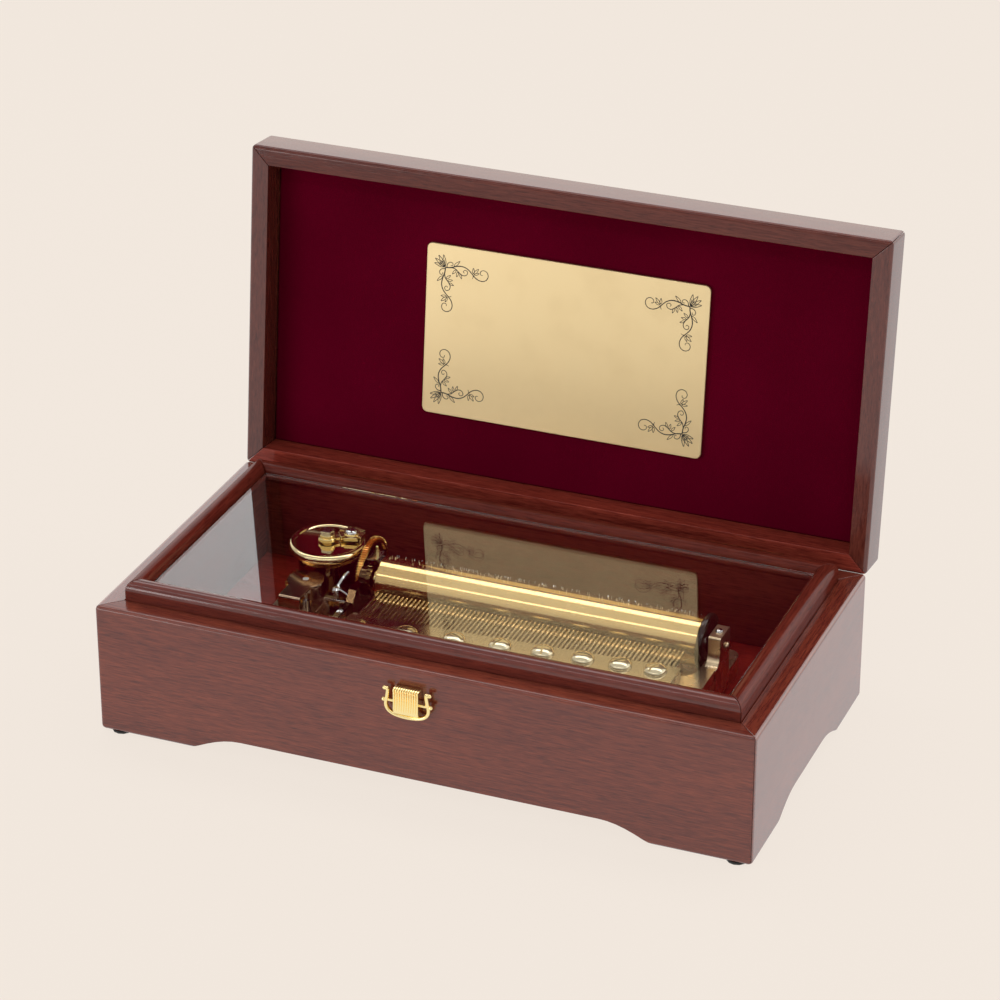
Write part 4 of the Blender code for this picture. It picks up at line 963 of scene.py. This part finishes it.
@dataclass
class Case:
    """The mitred case with its beaded liners, base, glass, feet and hinges."""

    shop: Workshop
    edge: float = 0.9 * MM
    screw_radius: float = 1.5 * MM
    screws_along: tuple[float, ...] = (0.14, 0.5, 0.86)
    screws_up: float = 0.36
    screws_past_pin: float = 8.0 * MM
    leaf_face: float = 57.27 * MM
    hinge_pin: Point2 = (56.37 * MM, 58.65 * MM)
    open_angle: float = 96.2

    def build(self) -> None:
        """Dress the boards and set the hinge screws."""
        for side in ("front", "back", "left", "right"):
            board = WOOD_X if side in ("front", "back") else WOOD_Y
            self.shop.ease("case_" + side, board, self.edge, 3)
            bead = {"front": BEAD_X, "back": BEAD_BACK}.get(side, BEAD_Y)
            self.shop.ease("liner_" + side, bead, 0.35 * MM, 2, 40)
        self.shop.ease("base_board", RED_X)
        self.shop.ease("glass_pane", GLASS, segments=1)
        for number in range(1, 5):
            self.shop.ease(f"rubber_foot_{number}", RUBBER)
        for part in ("case", "lid"):
            for side in ("left", "right"):
                self.shop.ease(f"hinge_leaf_{part}_{side}", BRASS, 0.12 * MM)
        self.hinge_screws()

    def hinge_screws(self) -> None:
        """Three small screws in each hinge leaf, on the case and on the opened lid."""
        opened = Matrix.Rotation(math.radians(-self.open_angle), 3, "X")
        pivot, outward = Vector((0, *self.hinge_pin)), Vector((0, 1, 0))
        for part in ("case", "lid"):
            seats = []
            for side in ("left", "right"):
                low, high = self.shop.box(f"hinge_leaf_{part}_{side}")
                for index, share in enumerate(self.screws_along):
                    x = low.x + (high.x - low.x) * share
                    turn = 0.5 + 1.3 * index
                    if part == "case":
                        z = low.z + (high.z - low.z) * self.screws_up
                        seats.append((Vector((x, self.leaf_face, z)), outward, turn))
                    else:
                        closed = Vector((x, self.leaf_face - pivot.y, self.screws_past_pin))
                        seats.append((opened @ closed + pivot, opened @ outward, turn))
            head = slotted_screw("leaf_screw_shape", self.screw_radius, 0.35 * MM, 0.4 * MM, 24)
            self.shop.seat(f"hinge_screws_{part}", head, seats, BRASS, f"hinge_leaf_{part}_left",
                           stands_for=False)


@dataclass
class Lid:
    """The opened lid: mitred rails, panel, velvet and the engraved plaque."""

    shop: Workshop
    edge: float = 0.9 * MM
    velvet_size: Point2 = (0.2634, 0.1262)

    def build(self) -> None:
        """Dress the rails, panel, velvet lining and plaque."""
        # The hinge rail takes the lighter tones: painted light where the opened lid's rail faces up
        for side, wood in (("front", LID_X), ("back", LIT_HINGE_RAIL), ("left", WOOD_Z), ("right", WOOD_Z)):
            self.shop.ease("lid_rail_" + side, wood, self.edge, 3)
        self.shop.ease("lid_top_panel", LID_X)
        cloth = self.shop.ease("lid_lining", VELVET, 0.5 * MM)
        self.shop.ease("plaque", PLAQUE_GOLD, 0.35 * MM)


@dataclass
class Flourish:
    """Corner scrollwork of the plaque: a leaf fan and two scrolling stems a corner.

    All sizes are millimetres on the plaque's face, from the joint of the stems; the first
    number runs along the stem and the second towards the middle of the plaque.
    """

    shop: Workshop
    inset: Point2 = (8.6, 10.0)
    rise: float = 0.035
    sunk: float = -0.02
    stroke: float = 0.34

    @staticmethod
    def leaf(base: Point2, tip: Point2, width: float) -> list[Point2]:
        """A leaf's outline from its base round its tip and back.

        Args:
            base: where it grows.
            tip: its end.
            width: its width.

        Returns:
            The smooth outline.
        """
        along = Vector(tip) - Vector(base)
        across = Vector((-along.y, along.x)).normalized() * width
        shape = ((0, 0), (0.2, 0.34), (0.45, 0.5), (0.75, 0.3), (1, 0), (0.75, -0.3), (0.45, -0.5),
                 (0.2, -0.34), (0, 0))
        outline = [tuple(Vector(base) + along * share + across * bulge) for share, bulge in shape]
        return smooth_path(outline, 3)

    def stem(self) -> list[Stroke]:
        """Strokes of one stem.

        Returns:
            Path, width at the start and width at the end of each, as shares of the stroke.
        """
        scrolls = (
            ([(0, 0), (2.4, -0.3), (5.0, -1.2), (7.6, -1.5), (10.0, -0.7), (12.0, 1.0), (13.9, 2.8),
              (16.2, 3.6), (18.3, 3.0), (19.3, 1.2), (18.7, -0.6), (17.1, -1.2), (15.8, -0.4),
              (15.9, 0.8), (16.8, 1.0)], 1.5, 0.75),
            ([(2.6, -0.4), (4.6, 0.1), (6.3, 1.5), (8.0, 2.4), (9.6, 1.9), (10.0, 0.5), (8.9, -0.1),
              (8.1, 0.6), (8.6, 1.3)], 1.2, 0.7),
            ([(0.6, -0.2), (0.9, -1.7), (2.0, -2.6), (3.2, -2.3), (3.2, -1.3), (2.3, -1.2)], 1.1, 0.7),
            ([(12.2, 1.1), (12.6, 2.2), (12.2, 3.1)], 1.0, 0.6))
        leaves = (((3.8, -1.0), (6.4, -3.6), 1.0), ((4.9, 0.4), (3.2, 2.4), 0.9),
                  ((5.7, 1.1), (5.2, 3.4), 0.9), ((6.6, 1.8), (7.4, 3.9), 0.8),
                  ((12.6, 0.9), (12.6, -1.6), 0.9), ((12.9, 1.0), (14.9, -1.5), 1.0),
                  ((13.0, 1.3), (15.2, 0.4), 0.8))
        return ([(smooth_path(points, 7), first, last) for points, first, last in scrolls]
                + [(self.leaf(*sizes), 0.75, 0.75) for sizes in leaves])

    def fan(self) -> list[Stroke]:
        """Strokes of the corner's leaf fan, as stem() gives them.

        Returns:
            The strokes.
        """
        strokes = []
        for tip, width in (((-5.0, -1.3), 1.35), ((-4.7, -3.4), 1.4), ((-3.2, -4.9), 1.4),
                           ((-1.0, -5.4), 1.35)):
            vein = [(tip[0] * share, tip[1] * share) for share in (0.12, 0.62)]
            strokes += [(self.leaf((-0.2, -0.2), tip, width), 0.85, 0.85), (vein, 0.8, 0.5)]
        return strokes

    def ribbon(self, path: Sequence[Point2], first: float, last: float) -> list[list[Vector]]:
        """Cross sections of one raised stroke.

        Args:
            path: the stroke's centre line.
            first: its width at the start.
            last: its width at the end.

        Returns:
            Four points for each point of the path.
        """
        rings = []
        for index, spot in enumerate(path):
            ahead = Vector(path[min(index + 1, len(path) - 1)]) - Vector(path[max(index - 1, 0)])
            width = self.stroke * (first + (last - first) * index / (len(path) - 1))
            across = Vector((-ahead.y, ahead.x)).normalized() * width / 2
            left, right = Vector(spot) - across, Vector(spot) + across
            rings.append([Vector((*left, self.rise)), Vector((*right, self.rise)),
                          Vector((*right, self.sunk)), Vector((*left, self.sunk))])
        return rings

    def build(self) -> None:
        """Lay the scrollwork in the plaque's four corners."""
        mesh = self.shop.frame["nodes"]["plaque"].data
        front = max((face for face in mesh.polygons if face.normal.y < -0.5), key=lambda face: face.area)
        normal, right = front.normal.copy(), Vector((1, 0, 0))
        up = normal.cross(right)
        reaches = [[vertex.co.dot(way) for vertex in mesh.vertices] for way in (right, up, normal)]
        (left_edge, right_edge), (low_edge, high_edge) = ((min(reach), max(reach)) for reach in reaches[:2])
        stems = self.stem()
        mirrored = [([(y, x) for x, y in path], first, last) for path, first, last in stems]
        bm = bmesh.new()
        for side, edge in ((-1, left_edge), (1, right_edge)):
            for end, brink in ((-1, low_edge), (1, high_edge)):
                corner = (right * (edge - side * self.inset[0] * MM) + up * (brink - end * self.inset[1] * MM)
                          + normal * max(reaches[2]))
                lay = Matrix((right * -side, up * -end, normal)).transposed() * MM
                for stroke in (*stems, *mirrored, *self.fan()):
                    add_tube(bm, [[corner + lay @ spot for spot in ring] for ring in self.ribbon(*stroke)])
        bmesh.ops.recalc_face_normals(bm, faces=bm.faces)
        self.shop.put(from_bmesh("plaque_scrollwork", bm, 20), INK, "plaque", stands_for=False)


# Movement


@dataclass
class Cylinder:
    """The pinned drum with its flange, cap, arbor and gear."""

    shop: Workshop
    wall: float = 1.2 * MM
    ease: float = 0.35 * MM
    teeth: int = 72
    first_tooth: float = -47.38 * MM
    pitch: float = 1.873 * MM
    track: float = 0.5 * MM
    pins: int = 1300
    pin_height: float = 0.8 * MM
    pin_radius: float = 0.11 * MM
    flange_thick: float = 2.4 * MM
    flange_rim: float = 0.7 * MM
    hub_radius: float = 9.0 * MM
    bore: float = 2.3 * MM

    def build(self) -> None:
        """Turn the drum, stand its pins and dress what it carries."""
        low, high = self.shop.box("cylinder_drum")
        centre = self.shop.middle("cylinder_drum")
        radius = (high.z - low.z) / 2
        drum = washer(radius - self.wall, radius, low.x, high.x, self.ease)
        self.shop.put(lathe("drum_finished", drum, Axis.X, centre, 160), DRUM_BRASS, "cylinder_drum")
        base = link("drum_pins", bpy.data.meshes.new("drum_pins"))
        pins = pin_tree().run(base, STEEL, Pins=self.pins, Teeth=self.teeth, First=self.first_tooth,
                              Pitch=self.pitch, Track=self.track, Drum_Radius=radius,
                              Pin_Radius=self.pin_radius, Pin_Height=self.pin_height,
                              Axis_Place=Vector((0, centre.y, centre.z)), Seed=11)
        self.shop.put(pins, STEEL, "cylinder_drum", stands_for=False)
        self.flange()
        self.shop.ease("cylinder_cap", BRASS, 0.2 * MM)
        self.shop.ease("cylinder_arbor", STEEL, 0.15 * MM)
        # The gear gets the darkened brass: painted shade in the gap between the bracket and the drum
        self.shop.ease("cylinder_gear", SHADED_BRASS, 0.08 * MM)

    def flange(self) -> None:
        """Turn the flange, whose rim is rounded and whose outer face has a shallow recess."""
        low, high = self.shop.box("cylinder_flange")
        radius, face, rim = (high.z - low.z) / 2, high.x - self.flange_thick, self.flange_rim
        bend = rim * 0.3
        shape = [(self.bore, low.x), (self.hub_radius, low.x), (self.hub_radius, face), (radius - rim, face),
                 (radius - bend, face + bend), (radius, face + rim), (radius, high.x - rim),
                 (radius - bend, high.x - bend), (radius - rim, high.x),
                 *steps_from(high.x, (radius / MM - 2.4, 0), (radius / MM - 2.8, -0.35), (4.2, -0.35),
                             (3.8, 0)),
                 (self.bore, high.x), (self.bore, low.x)]
        turned = lathe("flange_finished", shape, Axis.X, self.shop.middle("cylinder_flange"), 96)
        # The flange's dark brown finish is a painted dark reflection
        self.shop.put(turned, FLANGE_PAINTED_DARK, "cylinder_flange")


@dataclass
class Comb:
    """The steel comb on its base, held by eight slotted screws."""

    shop: Workshop
    head_radius: float = 4.75 * MM
    head_height: float = 2.35 * MM
    slot: float = 0.8 * MM
    lean: float = 1.2 * MM
    lean_ends: float = 4.4
    turns: tuple[float, ...] = (0.4, 2.2, 1.2, 2.7, 0.2, 1.7, 2.3, 2.75)

    def build(self) -> None:
        """Dress the comb and set its screws, which stand further forward at the bass end."""
        # The comb's brown tint is a painted reflection of the lining
        self.shop.ease("comb", COMB_STEEL_TINTED, 0.10 * MM, 1)
        self.shop.ease("comb_base", SATIN_BRASS)
        nodes = [f"comb_screw_{number}" for number in range(1, len(self.turns) + 1)]
        seats = []
        for number, (node, turn) in enumerate(zip(nodes, self.turns), 1):
            place = self.shop.middle(node)
            place.y -= max(0.0, self.lean_ends - number) * self.lean
            place.z = self.shop.box(node)[1].z - self.head_height
            seats.append((place, UP, turn))
        head = slotted_screw("comb_screw_shape", self.head_radius, self.head_height, self.slot, 48)
        self.shop.seat("comb_screws", head, seats, SCREW_STEEL, *nodes)


@dataclass
class SpringBarrel:
    """The spring barrel with its mirror-like lid, rounded rim, ring gear and stop-work."""

    shop: Workshop
    axis: tuple[float, float, float] = (-81.7 * MM, 13.17 * MM, 0)
    body_radius: float = 12.5 * MM
    rim_proud: float = 0.5 * MM
    lip_radius: float = 2.0 * MM
    lip_arc: Point2 = (140, -75)
    lip_steps: int = 14
    dish: float = 0.45 * MM
    neck: tuple[Point2, ...] = ((1.9, 0), (2.3, 0.5), (2.9, 1.4), (3.6, 2.6))
    collar_radius: float = 3.9 * MM
    square_radius: float = 1.9 * MM
    strip_size: Point2 = (1.6 * MM, 5.4 * MM)
    strip_place: Point2 = (2.6 * MM, 2.4 * MM)
    boss_radius: float = 3.4 * MM
    screw_radius: float = 2.8 * MM

    def build(self) -> None:
        """Turn the barrel and dress the stop-work."""
        low, high = self.shop.box("spring_barrel")
        rim = (high.x - low.x) / 2 + self.rim_proud
        top, lip = high.z, self.lip_radius
        crown = [(0.0, top - self.dish)]
        start, end = self.lip_arc
        for step in range(self.lip_steps + 1):
            angle = math.radians(start + (end - start) * step / self.lip_steps)
            crown.append((rim - lip + lip * math.cos(angle), top - lip + lip * math.sin(angle)))
        crown.append((0.0, top - lip * 1.97))
        # The body starts a hair under the crown, so that the two share no face
        under = top - lip * 1.98
        body = [(0.0, under), *((rim - inward * MM, under - down * MM) for inward, down in self.neck),
                (self.body_radius, under - 3.2 * MM), (self.body_radius, low.z + 0.3 * MM),
                (self.body_radius - 0.3 * MM, low.z), (0.0, low.z)]
        turned = lathe("barrel_crown", crown, Axis.Z, self.axis, 128, 40)
        self.shop.put(turned, PALE_GILT, "spring_barrel")
        turned = lathe("barrel_body", body, Axis.Z, self.axis, 128, 40)
        # The body gets the darkened brass: painted dark reflection on its polished metal
        self.shop.put(turned, SHADED_BRASS, "spring_barrel", stands_for=False)
        self.collar()
        self.shop.ease("barrel_gear", GEAR_BRASS, 0.1 * MM)
        self.shop.ease("star_wheel", GILT, 0.35 * MM)
        self.star_head()
        self.shop.ease("winding_arbor", SATIN_STEEL)
        self.shop.ease("winding_key", BRASS)

    def collar(self) -> None:
        """A turned collar of two steps round the winding square, with the stop finger's strip."""
        low, high = self.shop.box("stop_finger")
        bottom, top = low.z, high.z + 0.7 * MM
        wide, tall, inner = self.collar_radius, top - bottom, self.square_radius
        upper = wide - 0.75 * MM
        shape = [(inner, bottom), (wide, bottom), (wide, bottom + tall * 0.42),
                 (wide - 0.35 * MM, bottom + tall * 0.55), (upper, bottom + tall * 0.58),
                 (upper, top - 0.2 * MM), (upper - 0.2 * MM, top), (inner, top), (inner, bottom)]
        turned = lathe("collar_shape", shape, Axis.Z, self.axis, 64)
        whole = bmesh.new()
        whole.from_mesh(turned.data)
        bpy.data.objects.remove(turned)
        place = Vector(self.axis) + Vector((*self.strip_place, bottom + tall * 0.25))
        strip = block((*self.strip_size, tall * 0.42), place, math.radians(48))
        self.shop.put(merged("winding_collar", [whole, strip], 30), GILT, "stop_finger")

    def star_head(self) -> None:
        """The boss and the domed, slotted head that hold the star wheel."""
        place = self.shop.middle("star_screw")
        place.z = self.shop.box("star_wheel")[1].z
        wide = self.boss_radius / MM
        boss = steps_from(place.z, (0, -1.2), (wide, -1.2), (wide, 0.25), (wide - 0.3, 0.4), (0, 0.4))
        self.shop.put(lathe("star_boss", boss, Axis.Z, place, 48), GILT, "star_wheel", stands_for=False)
        head = slotted_screw("star_head_shape", self.screw_radius, 1.3 * MM, 0.5 * MM, 36)
        self.shop.seat("star_head", head, [(place + UP * 0.4 * MM, UP, 0.3)], STEEL, "star_screw")


@dataclass
class Works:
    """The bedplate, brackets, great wheel and governor."""

    shop: Workshop
    strip_size: tuple[float, float, float] = (4.6 * MM, 9.0 * MM, 0.7 * MM)
    strip_forward: float = 1.4 * MM
    pin_back: float = 1.6 * MM
    screw_radius: float = 1.7 * MM
    screw_height: float = 1.1 * MM
    dot_radius: float = 1.3 * MM
    teeth: int = 88
    tooth: float = 1.1 * MM
    rim_width: float = 2.2 * MM
    wheel_thick: float = 2.3 * MM
    wheel_bore: float = 2.2 * MM

    def build(self) -> None:
        """Dress the castings, wheels and brackets."""
        self.shop.ease("bedplate", SATIN_BRASS, 0.45 * MM, 3)
        # The bearing bracket's near-black colour is painted dark reflection on polished brass
        self.shop.ease("bearing_bracket", BRASS_PAINTED_BLACK)
        self.bracket_top()
        self.great_wheel()
        self.shop.ease("great_wheel_arbor", STEEL, 0.1 * MM)
        # The governor parts take the darkened brass: painted dark reflection
        self.shop.ease("governor_bracket", DIMMED_BRACKET_BRASS)
        self.shop.ease("governor_wheel", DIMMED_BRACKET_BRASS, 0.08 * MM, 1)
        self.shop.ease("governor_fly", STEEL, 0.08 * MM, 1)
        self.shop.ease("train_bridge", STEEL, 0.25 * MM)
        self.shop.ease("stop_lever", STEEL, 0.12 * MM)
        self.post_screw()
        self.pivot_dot()

    def bracket_top(self) -> None:
        """The bearing bracket's bright cap strip and the gold pin that holds it."""
        top = self.shop.box("bracket_cap")[1].z
        under = self.shop.box("bearing_bracket")[1].z
        place = self.shop.middle("bracket_cap")
        place.y -= self.strip_forward
        place.z = under + 0.3 * MM
        bm = block(self.strip_size, place)
        bmesh.ops.bevel(bm, geom=list(bm.edges), offset=0.15 * MM, segments=2, affect="EDGES")
        self.shop.put(from_bmesh("bracket_strip", bm, 50), SATIN_STEEL, "bracket_cap")
        pin = [(0.0, under), (0.75 * MM, under), *steps_from(top, (0.75, -0.5), (0.5, -0.15), (0, 0))]
        place.y += self.pin_back
        turned = lathe("bracket_pin", pin, Axis.Z, place, 24, 40)
        self.shop.put(turned, GILT, "bracket_cap", stands_for=False)

    def great_wheel(self) -> None:
        """The great wheel: a toothed rim of bright brass on a web darkened by painted shade."""
        low, high = self.shop.box("great_wheel")
        low.x = high.x - self.wheel_thick
        centre = self.shop.middle("great_wheel")
        radius = (high.z - low.z) / 2
        root, inner = radius - self.tooth, radius - self.rim_width
        rim = washer(inner, root, low.x, high.x, 0.12 * MM)
        self.shop.put(lathe("great_wheel_rim", rim, Axis.X, centre, 144), GEAR_BRASS, "great_wheel")
        centre.x = (low.x + high.x) / 2
        seats = []
        for number in range(self.teeth):
            angle = 2 * math.pi * number / self.teeth
            facing = Vector((0, math.cos(angle), math.sin(angle)))
            seats.append((centre + facing * (root - 0.05 * MM), facing, 0.0))
        pitch, tall, half = 2 * math.pi * radius / self.teeth, self.tooth, self.wheel_thick / 2
        flank = [(0.26 * pitch, 0.0), (0.22 * pitch, tall * 0.5), (0.12 * pitch, tall)]
        tooth = prism([*((-y, z) for y, z in flank), *reversed(flank)], -half, half)
        self.shop.seat("wheel_teeth", from_bmesh("tooth_shape", tooth), seats, GEAR_BRASS, "great_wheel",
                       stands_for=False)
        web = washer(self.wheel_bore, inner + 0.1 * MM, low.x + 0.5 * MM, high.x - 0.6 * MM)
        turned = lathe("great_wheel_web", web, Axis.X, centre, 96)
        # The web gets the darkened brass: painted shade
        self.shop.put(turned, SHADED_BRASS, "great_wheel", stands_for=False)

    def post_screw(self) -> None:
        """The domed screw on top of the right bearing post, and the arbor's end button."""
        corners = [vertex.co for vertex in self.shop.frame["nodes"]["bedplate"].data.vertices]
        top = max(corner.z for corner in corners)
        crown = [corner for corner in corners if corner.z > top - 0.05 * MM]
        xs, ys = [corner.x for corner in crown], [corner.y for corner in crown]
        place = Vector(((min(xs) + max(xs)) / 2, (min(ys) + max(ys)) / 2, top))
        head = slotted_screw("post_screw_shape", self.screw_radius, self.screw_height, 0.4 * MM, 32)
        self.shop.seat("post_screw", head, [(place, UP, 0.9)], STEEL, "bedplate", stands_for=False)
        button = steps_from(max(xs), (0, 0.1), (2.0, 0.1), (2.0, 0.5), (1.7, 1.0), (1.0, 1.35), (0, 1.5))
        turned = lathe("arbor_button", button, Axis.X, self.shop.middle("cylinder_arbor"), 40, 40)
        self.shop.put(turned, SATIN_BRASS, "cylinder_arbor", stands_for=False)

    def pivot_dot(self) -> None:
        """The fly's pivot, which shows as a pale dot in the governor's top plate."""
        top, reach = self.shop.box("governor_bracket")[1].z, self.dot_radius / MM
        dot = steps_from(top, (0, -0.1), (reach, -0.1), (reach, 0.05), (reach * 0.8, 0.14), (0, 0.16))
        turned = lathe("fly_pivot_dot", dot, Axis.Z, self.shop.middle("governor_fly"), 40)
        self.shop.put(turned, PIVOT_STEEL, "governor_bracket", stands_for=False)


@dataclass
class ClaspOrnament:
    """The gilt ornament on the front: reeds over a roll in a bowed strap, with a ball-ended bar."""

    shop: Workshop
    reeds: int = 11
    reed_pitch: float = 1.0 * MM
    reed_width: float = 0.66 * MM
    groove: float = 1.5 * MM
    strap: float = 0.95 * MM
    ball_radius: float = 0.95 * MM
    bar_radius: float = 0.6 * MM
    shift: tuple[float, float, float] = (-0.9 * MM, 0, 0.5 * MM)

    @staticmethod
    def eased_prism(outline: Sequence[Point2], low: float, high: float, ease: float) -> BMesh:
        """Extrude a side view across the fitting, with eased side edges.

        Args:
            outline: (y, z) points of the side view.
            low: its left end.
            high: its right end.
            ease: rounding of the edges that run across X.

        Returns:
            The closed mesh.
        """
        bm = prism(outline, low, high)
        edges = [edge for edge in bm.edges if abs(edge.verts[0].co.x - edge.verts[1].co.x) < 1e-7]
        bmesh.ops.bevel(bm, geom=edges, offset=ease, segments=2, affect="EDGES", clamp_overlap=True)
        return bm

    def side_view(self, low: Vector, high: Vector, groove: float = 0.0) -> list[Point2]:
        """Side view of a reed, or with a groove depth of the metal between two reeds.

        Args:
            low: lowest corner of the fitting.
            high: highest corner of the fitting, on the wood.
            groove: how far the metal lies back in the upper half.

        Returns:
            The outline's (y, z) points.
        """
        back, front, bottom, top = high.y, low.y, low.z + 0.9 * MM, high.z - 0.2 * MM
        waist = bottom + (top - bottom) * (0.36 if groove else 0.5)
        sunk = groove * 0.16
        if groove:
            top -= 0.5 * MM
        edge = top - groove * 0.3
        outline = [(back, edge), (front + 0.75 * MM + groove, edge),
                   (front + 0.35 * MM + groove, edge - 0.45 * MM), (front + 0.18 * MM + sunk, waist)]
        # The roll at the foot of the reeds
        radius = (waist - bottom) * 0.62 - sunk
        y, z = front + sunk + radius, bottom + sunk + radius
        for step in range(9):
            angle = math.radians(-4 - 78 * step / 8)
            outline.append((y - radius * math.cos(angle), z + radius * math.sin(angle)))
        return [*outline, (back, bottom + sunk + 0.5 * MM)]

    def strap_parts(self, low: Vector, high: Vector) -> list[BMesh]:
        """The bowed strap with its lugs, and the bar with its ball ends.

        Args:
            low: lowest corner of the fitting.
            high: highest corner of the fitting.

        Returns:
            The closed meshes.
        """
        middle, y, wide = (low.x + high.x) / 2, (low.y + high.y) / 2, (high.x - low.x) / 2
        reach = wide - 1.9 * MM
        tall = (high.z - low.z) - self.strap - 1.0 * MM
        floor = low.z + self.strap * 0.6
        # Half of the bow, as shares of its reach and height, from its top inwards
        half = [(0.90, 1.0), (0.91, 0.86), (0.95, 0.66), (1.0, 0.46), (0.98, 0.30), (0.86, 0.16),
                (0.64, 0.065), (0.32, 0.015)]
        bow = [*((-across, up) for across, up in half), (0.0, 0.0), *reversed(half)]
        spots = smooth_path([((middle + across * reach) / MM, (floor + up * tall) / MM)
                             for across, up in bow], 5)
        parts = [sweep([Vector((x * MM, y, z * MM)) for x, z in spots], self.strap * 1.12, 0.8)]
        bar_z = low.z + tall * 0.60
        for side in (-1, 1):
            tip = Vector((middle + side * (reach * 0.90 + 1.5 * MM), y, floor + tall - 0.1 * MM))
            lug = [Vector((middle + side * reach * 0.86, y, floor + tall)), tip]
            end = Vector((middle + side * (wide - self.ball_radius), y, bar_z))
            parts += [sweep(lug, self.strap * 1.05, 0.8), ball(tip, self.strap * 0.88),
                      ball(end, self.ball_radius)]
        ends = [Vector((x, y, bar_z)) for x in (low.x + 0.8 * MM, high.x - 0.8 * MM)]
        return [*parts, sweep(ends, self.bar_radius)]

    def build(self) -> None:
        """Make the reeds, the strap and the bar."""
        low, high = (corner + Vector(self.shift) for corner in self.shop.box("front_fitting"))
        middle, half_row = (low.x + high.x) / 2, self.reeds * self.reed_pitch / 2
        half = self.reed_width / 2
        reed = self.eased_prism(self.side_view(low, high), -half, half, 0.14 * MM)
        start = Vector((middle - half_row + self.reed_pitch / 2, 0, 0))
        reeds = row_tree().run(from_bmesh("clasp_reeds", reed, 50), GILT, Count=self.reeds, Start=start,
                               Step=Vector((self.reed_pitch, 0, 0)))
        reach = half_row - 0.3 * MM
        between = self.side_view(low, high, self.groove)
        core = self.eased_prism(between, middle - reach, middle + reach, 0.05 * MM)
        cradle = merged("clasp_cradle", [core, *self.strap_parts(low, high)], 45)
        self.shop.put(reeds, GILT, "front_fitting")
        self.shop.put(cradle, GILT, "front_fitting", stands_for=False)


# Studio


@dataclass(frozen=True)
class SoftBox:
    """One soft lamp that looks at a point."""

    name: str
    place: tuple[float, float, float]
    target: tuple[float, float, float]
    size: Point2
    power: float

    def build(self) -> None:
        """Hang the lamp."""
        data = bpy.data.lights.new(self.name, "AREA")
        data.shape = "RECTANGLE"
        data.size, data.size_y = self.size
        data.energy = self.power
        lamp = link(self.name, data)
        aim = Vector(self.target) - Vector(self.place)
        lamp.rotation_euler = aim.to_track_quat("-Z", "Y").to_euler()
        lamp.location = self.place


@dataclass
class Studio:
    """Camera, pale floor, world and lamps."""

    camera_place: tuple[float, float, float] = (0.49909, -1.23602, 0.77115)
    camera_down: float = 26.979
    camera_turn: float = 21.928
    lens: float = 133.2
    beige: Colour = (0.888, 0.807, 0.730)
    gloss_tint: Colour = (0.98, 0.98, 0.97)
    floor_glow: float = 0.93
    fill: float = 0.48
    sweep: float = 0.95
    sky_gain: float = 1.3
    lamps: tuple[SoftBox, ...] = (
        SoftBox("overhead_back", (0.0, 0.36, 1.25), (0.0, 0.0, 0.05), (2.4, 0.46), 7.5),
        SoftBox("front_strip", (0.0, -0.95, 1.20), (0.0, 0.0, 0.05), (2.4, 0.10), 2.2),
        SoftBox("left_key", (-1.2, -1.4, 0.32), (0.0, 0.0, 0.08), (1.0, 0.5), 7),
        SoftBox("right_panel", (1.5, 0.3, 0.7), (0.0, 0.0, 0.08), (1.0, 1.0), 2.5))

    def floor(self) -> None:
        """A wide floor that shows as the plain background and keeps a faint shadow."""
        bm = bmesh.new()
        bmesh.ops.create_grid(bm, x_segments=1, y_segments=1, size=6.0)
        piece = from_bmesh("studio_floor", bm)
        shader = Shader("studio_paper")
        shader.put(Base_Color=self.beige, Roughness=0.9, Specular_IOR_Level=0.0)
        glossy = shader.out("ShaderNodeLightPath", which="Is Glossy Ray")
        tint = shader.blend(glossy, self.beige, self.gloss_tint)
        glow = shader.out("ShaderNodeEmission", {"Color": tint, "Strength": 1.0})
        shader.swap(shader.maths("MULTIPLY", shader.shown(), self.floor_glow), glow)
        piece.data.materials.append(shader.material)
        piece.location.z = -0.05 * MM

    def world(self) -> None:
        """A soft world, brighter low behind the box, that the camera sees as the background."""
        world = bpy.data.worlds.new("studio_world")
        bpy.context.scene.world = world
        world.use_nodes = True
        graph = Graph(world.node_tree)
        spot = graph.out("ShaderNodeTexCoord", which="Generated")
        way = graph.add("ShaderNodeSeparateXYZ", {0: spot}).outputs
        behind, under = graph.span(way[1], 0.05, 0.7), graph.span(way[2], 0.35, 0.75, 1, 0)
        level = graph.maths("MULTIPLY_ADD", graph.maths("MULTIPLY", behind, under), self.sweep, self.fill)
        white = (1.0, 1.0, 1.0)
        soft = graph.out("ShaderNodeBackground", {"Color": white, "Strength": level})
        horizon = graph.span(way[2], 0.10, 0.30, 1, 0)
        seen = graph.maths("MAXIMUM", graph.maths("MULTIPLY", level, self.sky_gain), horizon)
        sockets = {"Color": graph.blend(horizon, white, self.beige), "Strength": seen}
        backdrop = graph.out("ShaderNodeBackground", sockets)
        mixed = graph.out("ShaderNodeMixShader", {0: graph.shown(), 1: soft, 2: backdrop})
        graph.add("ShaderNodeOutputWorld", {0: mixed})

    def camera(self) -> None:
        """The photograph's viewpoint."""
        data = bpy.data.cameras.new("view")
        data.lens = self.lens
        data.sensor_width = 36.0
        eye = link("view", data)
        eye.location = self.camera_place
        eye.rotation_euler = (math.radians(90 - self.camera_down), 0, math.radians(self.camera_turn))
        bpy.context.scene.camera = eye

    def build(self) -> None:
        """Set the whole studio."""
        bpy.context.scene.view_settings.view_transform = "Standard"
        self.camera()
        self.floor()
        self.world()
        for lamp in self.lamps:
            lamp.build()


# Main


def main() -> None:
    """Load the frame, build every part of the box and report it."""
    logging.basicConfig(level=logging.INFO, format="%(name)s: %(message)s")
    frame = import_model()
    Studio().build()
    shop = Workshop(frame)
    for part in (Case, Lid, Flourish, Cylinder, Comb, SpringBarrel, Works, ClaspOrnament):
        part(shop).build()
    LOG.info("%d pieces made", shop.made)


if __name__ == "__main__":
    main()
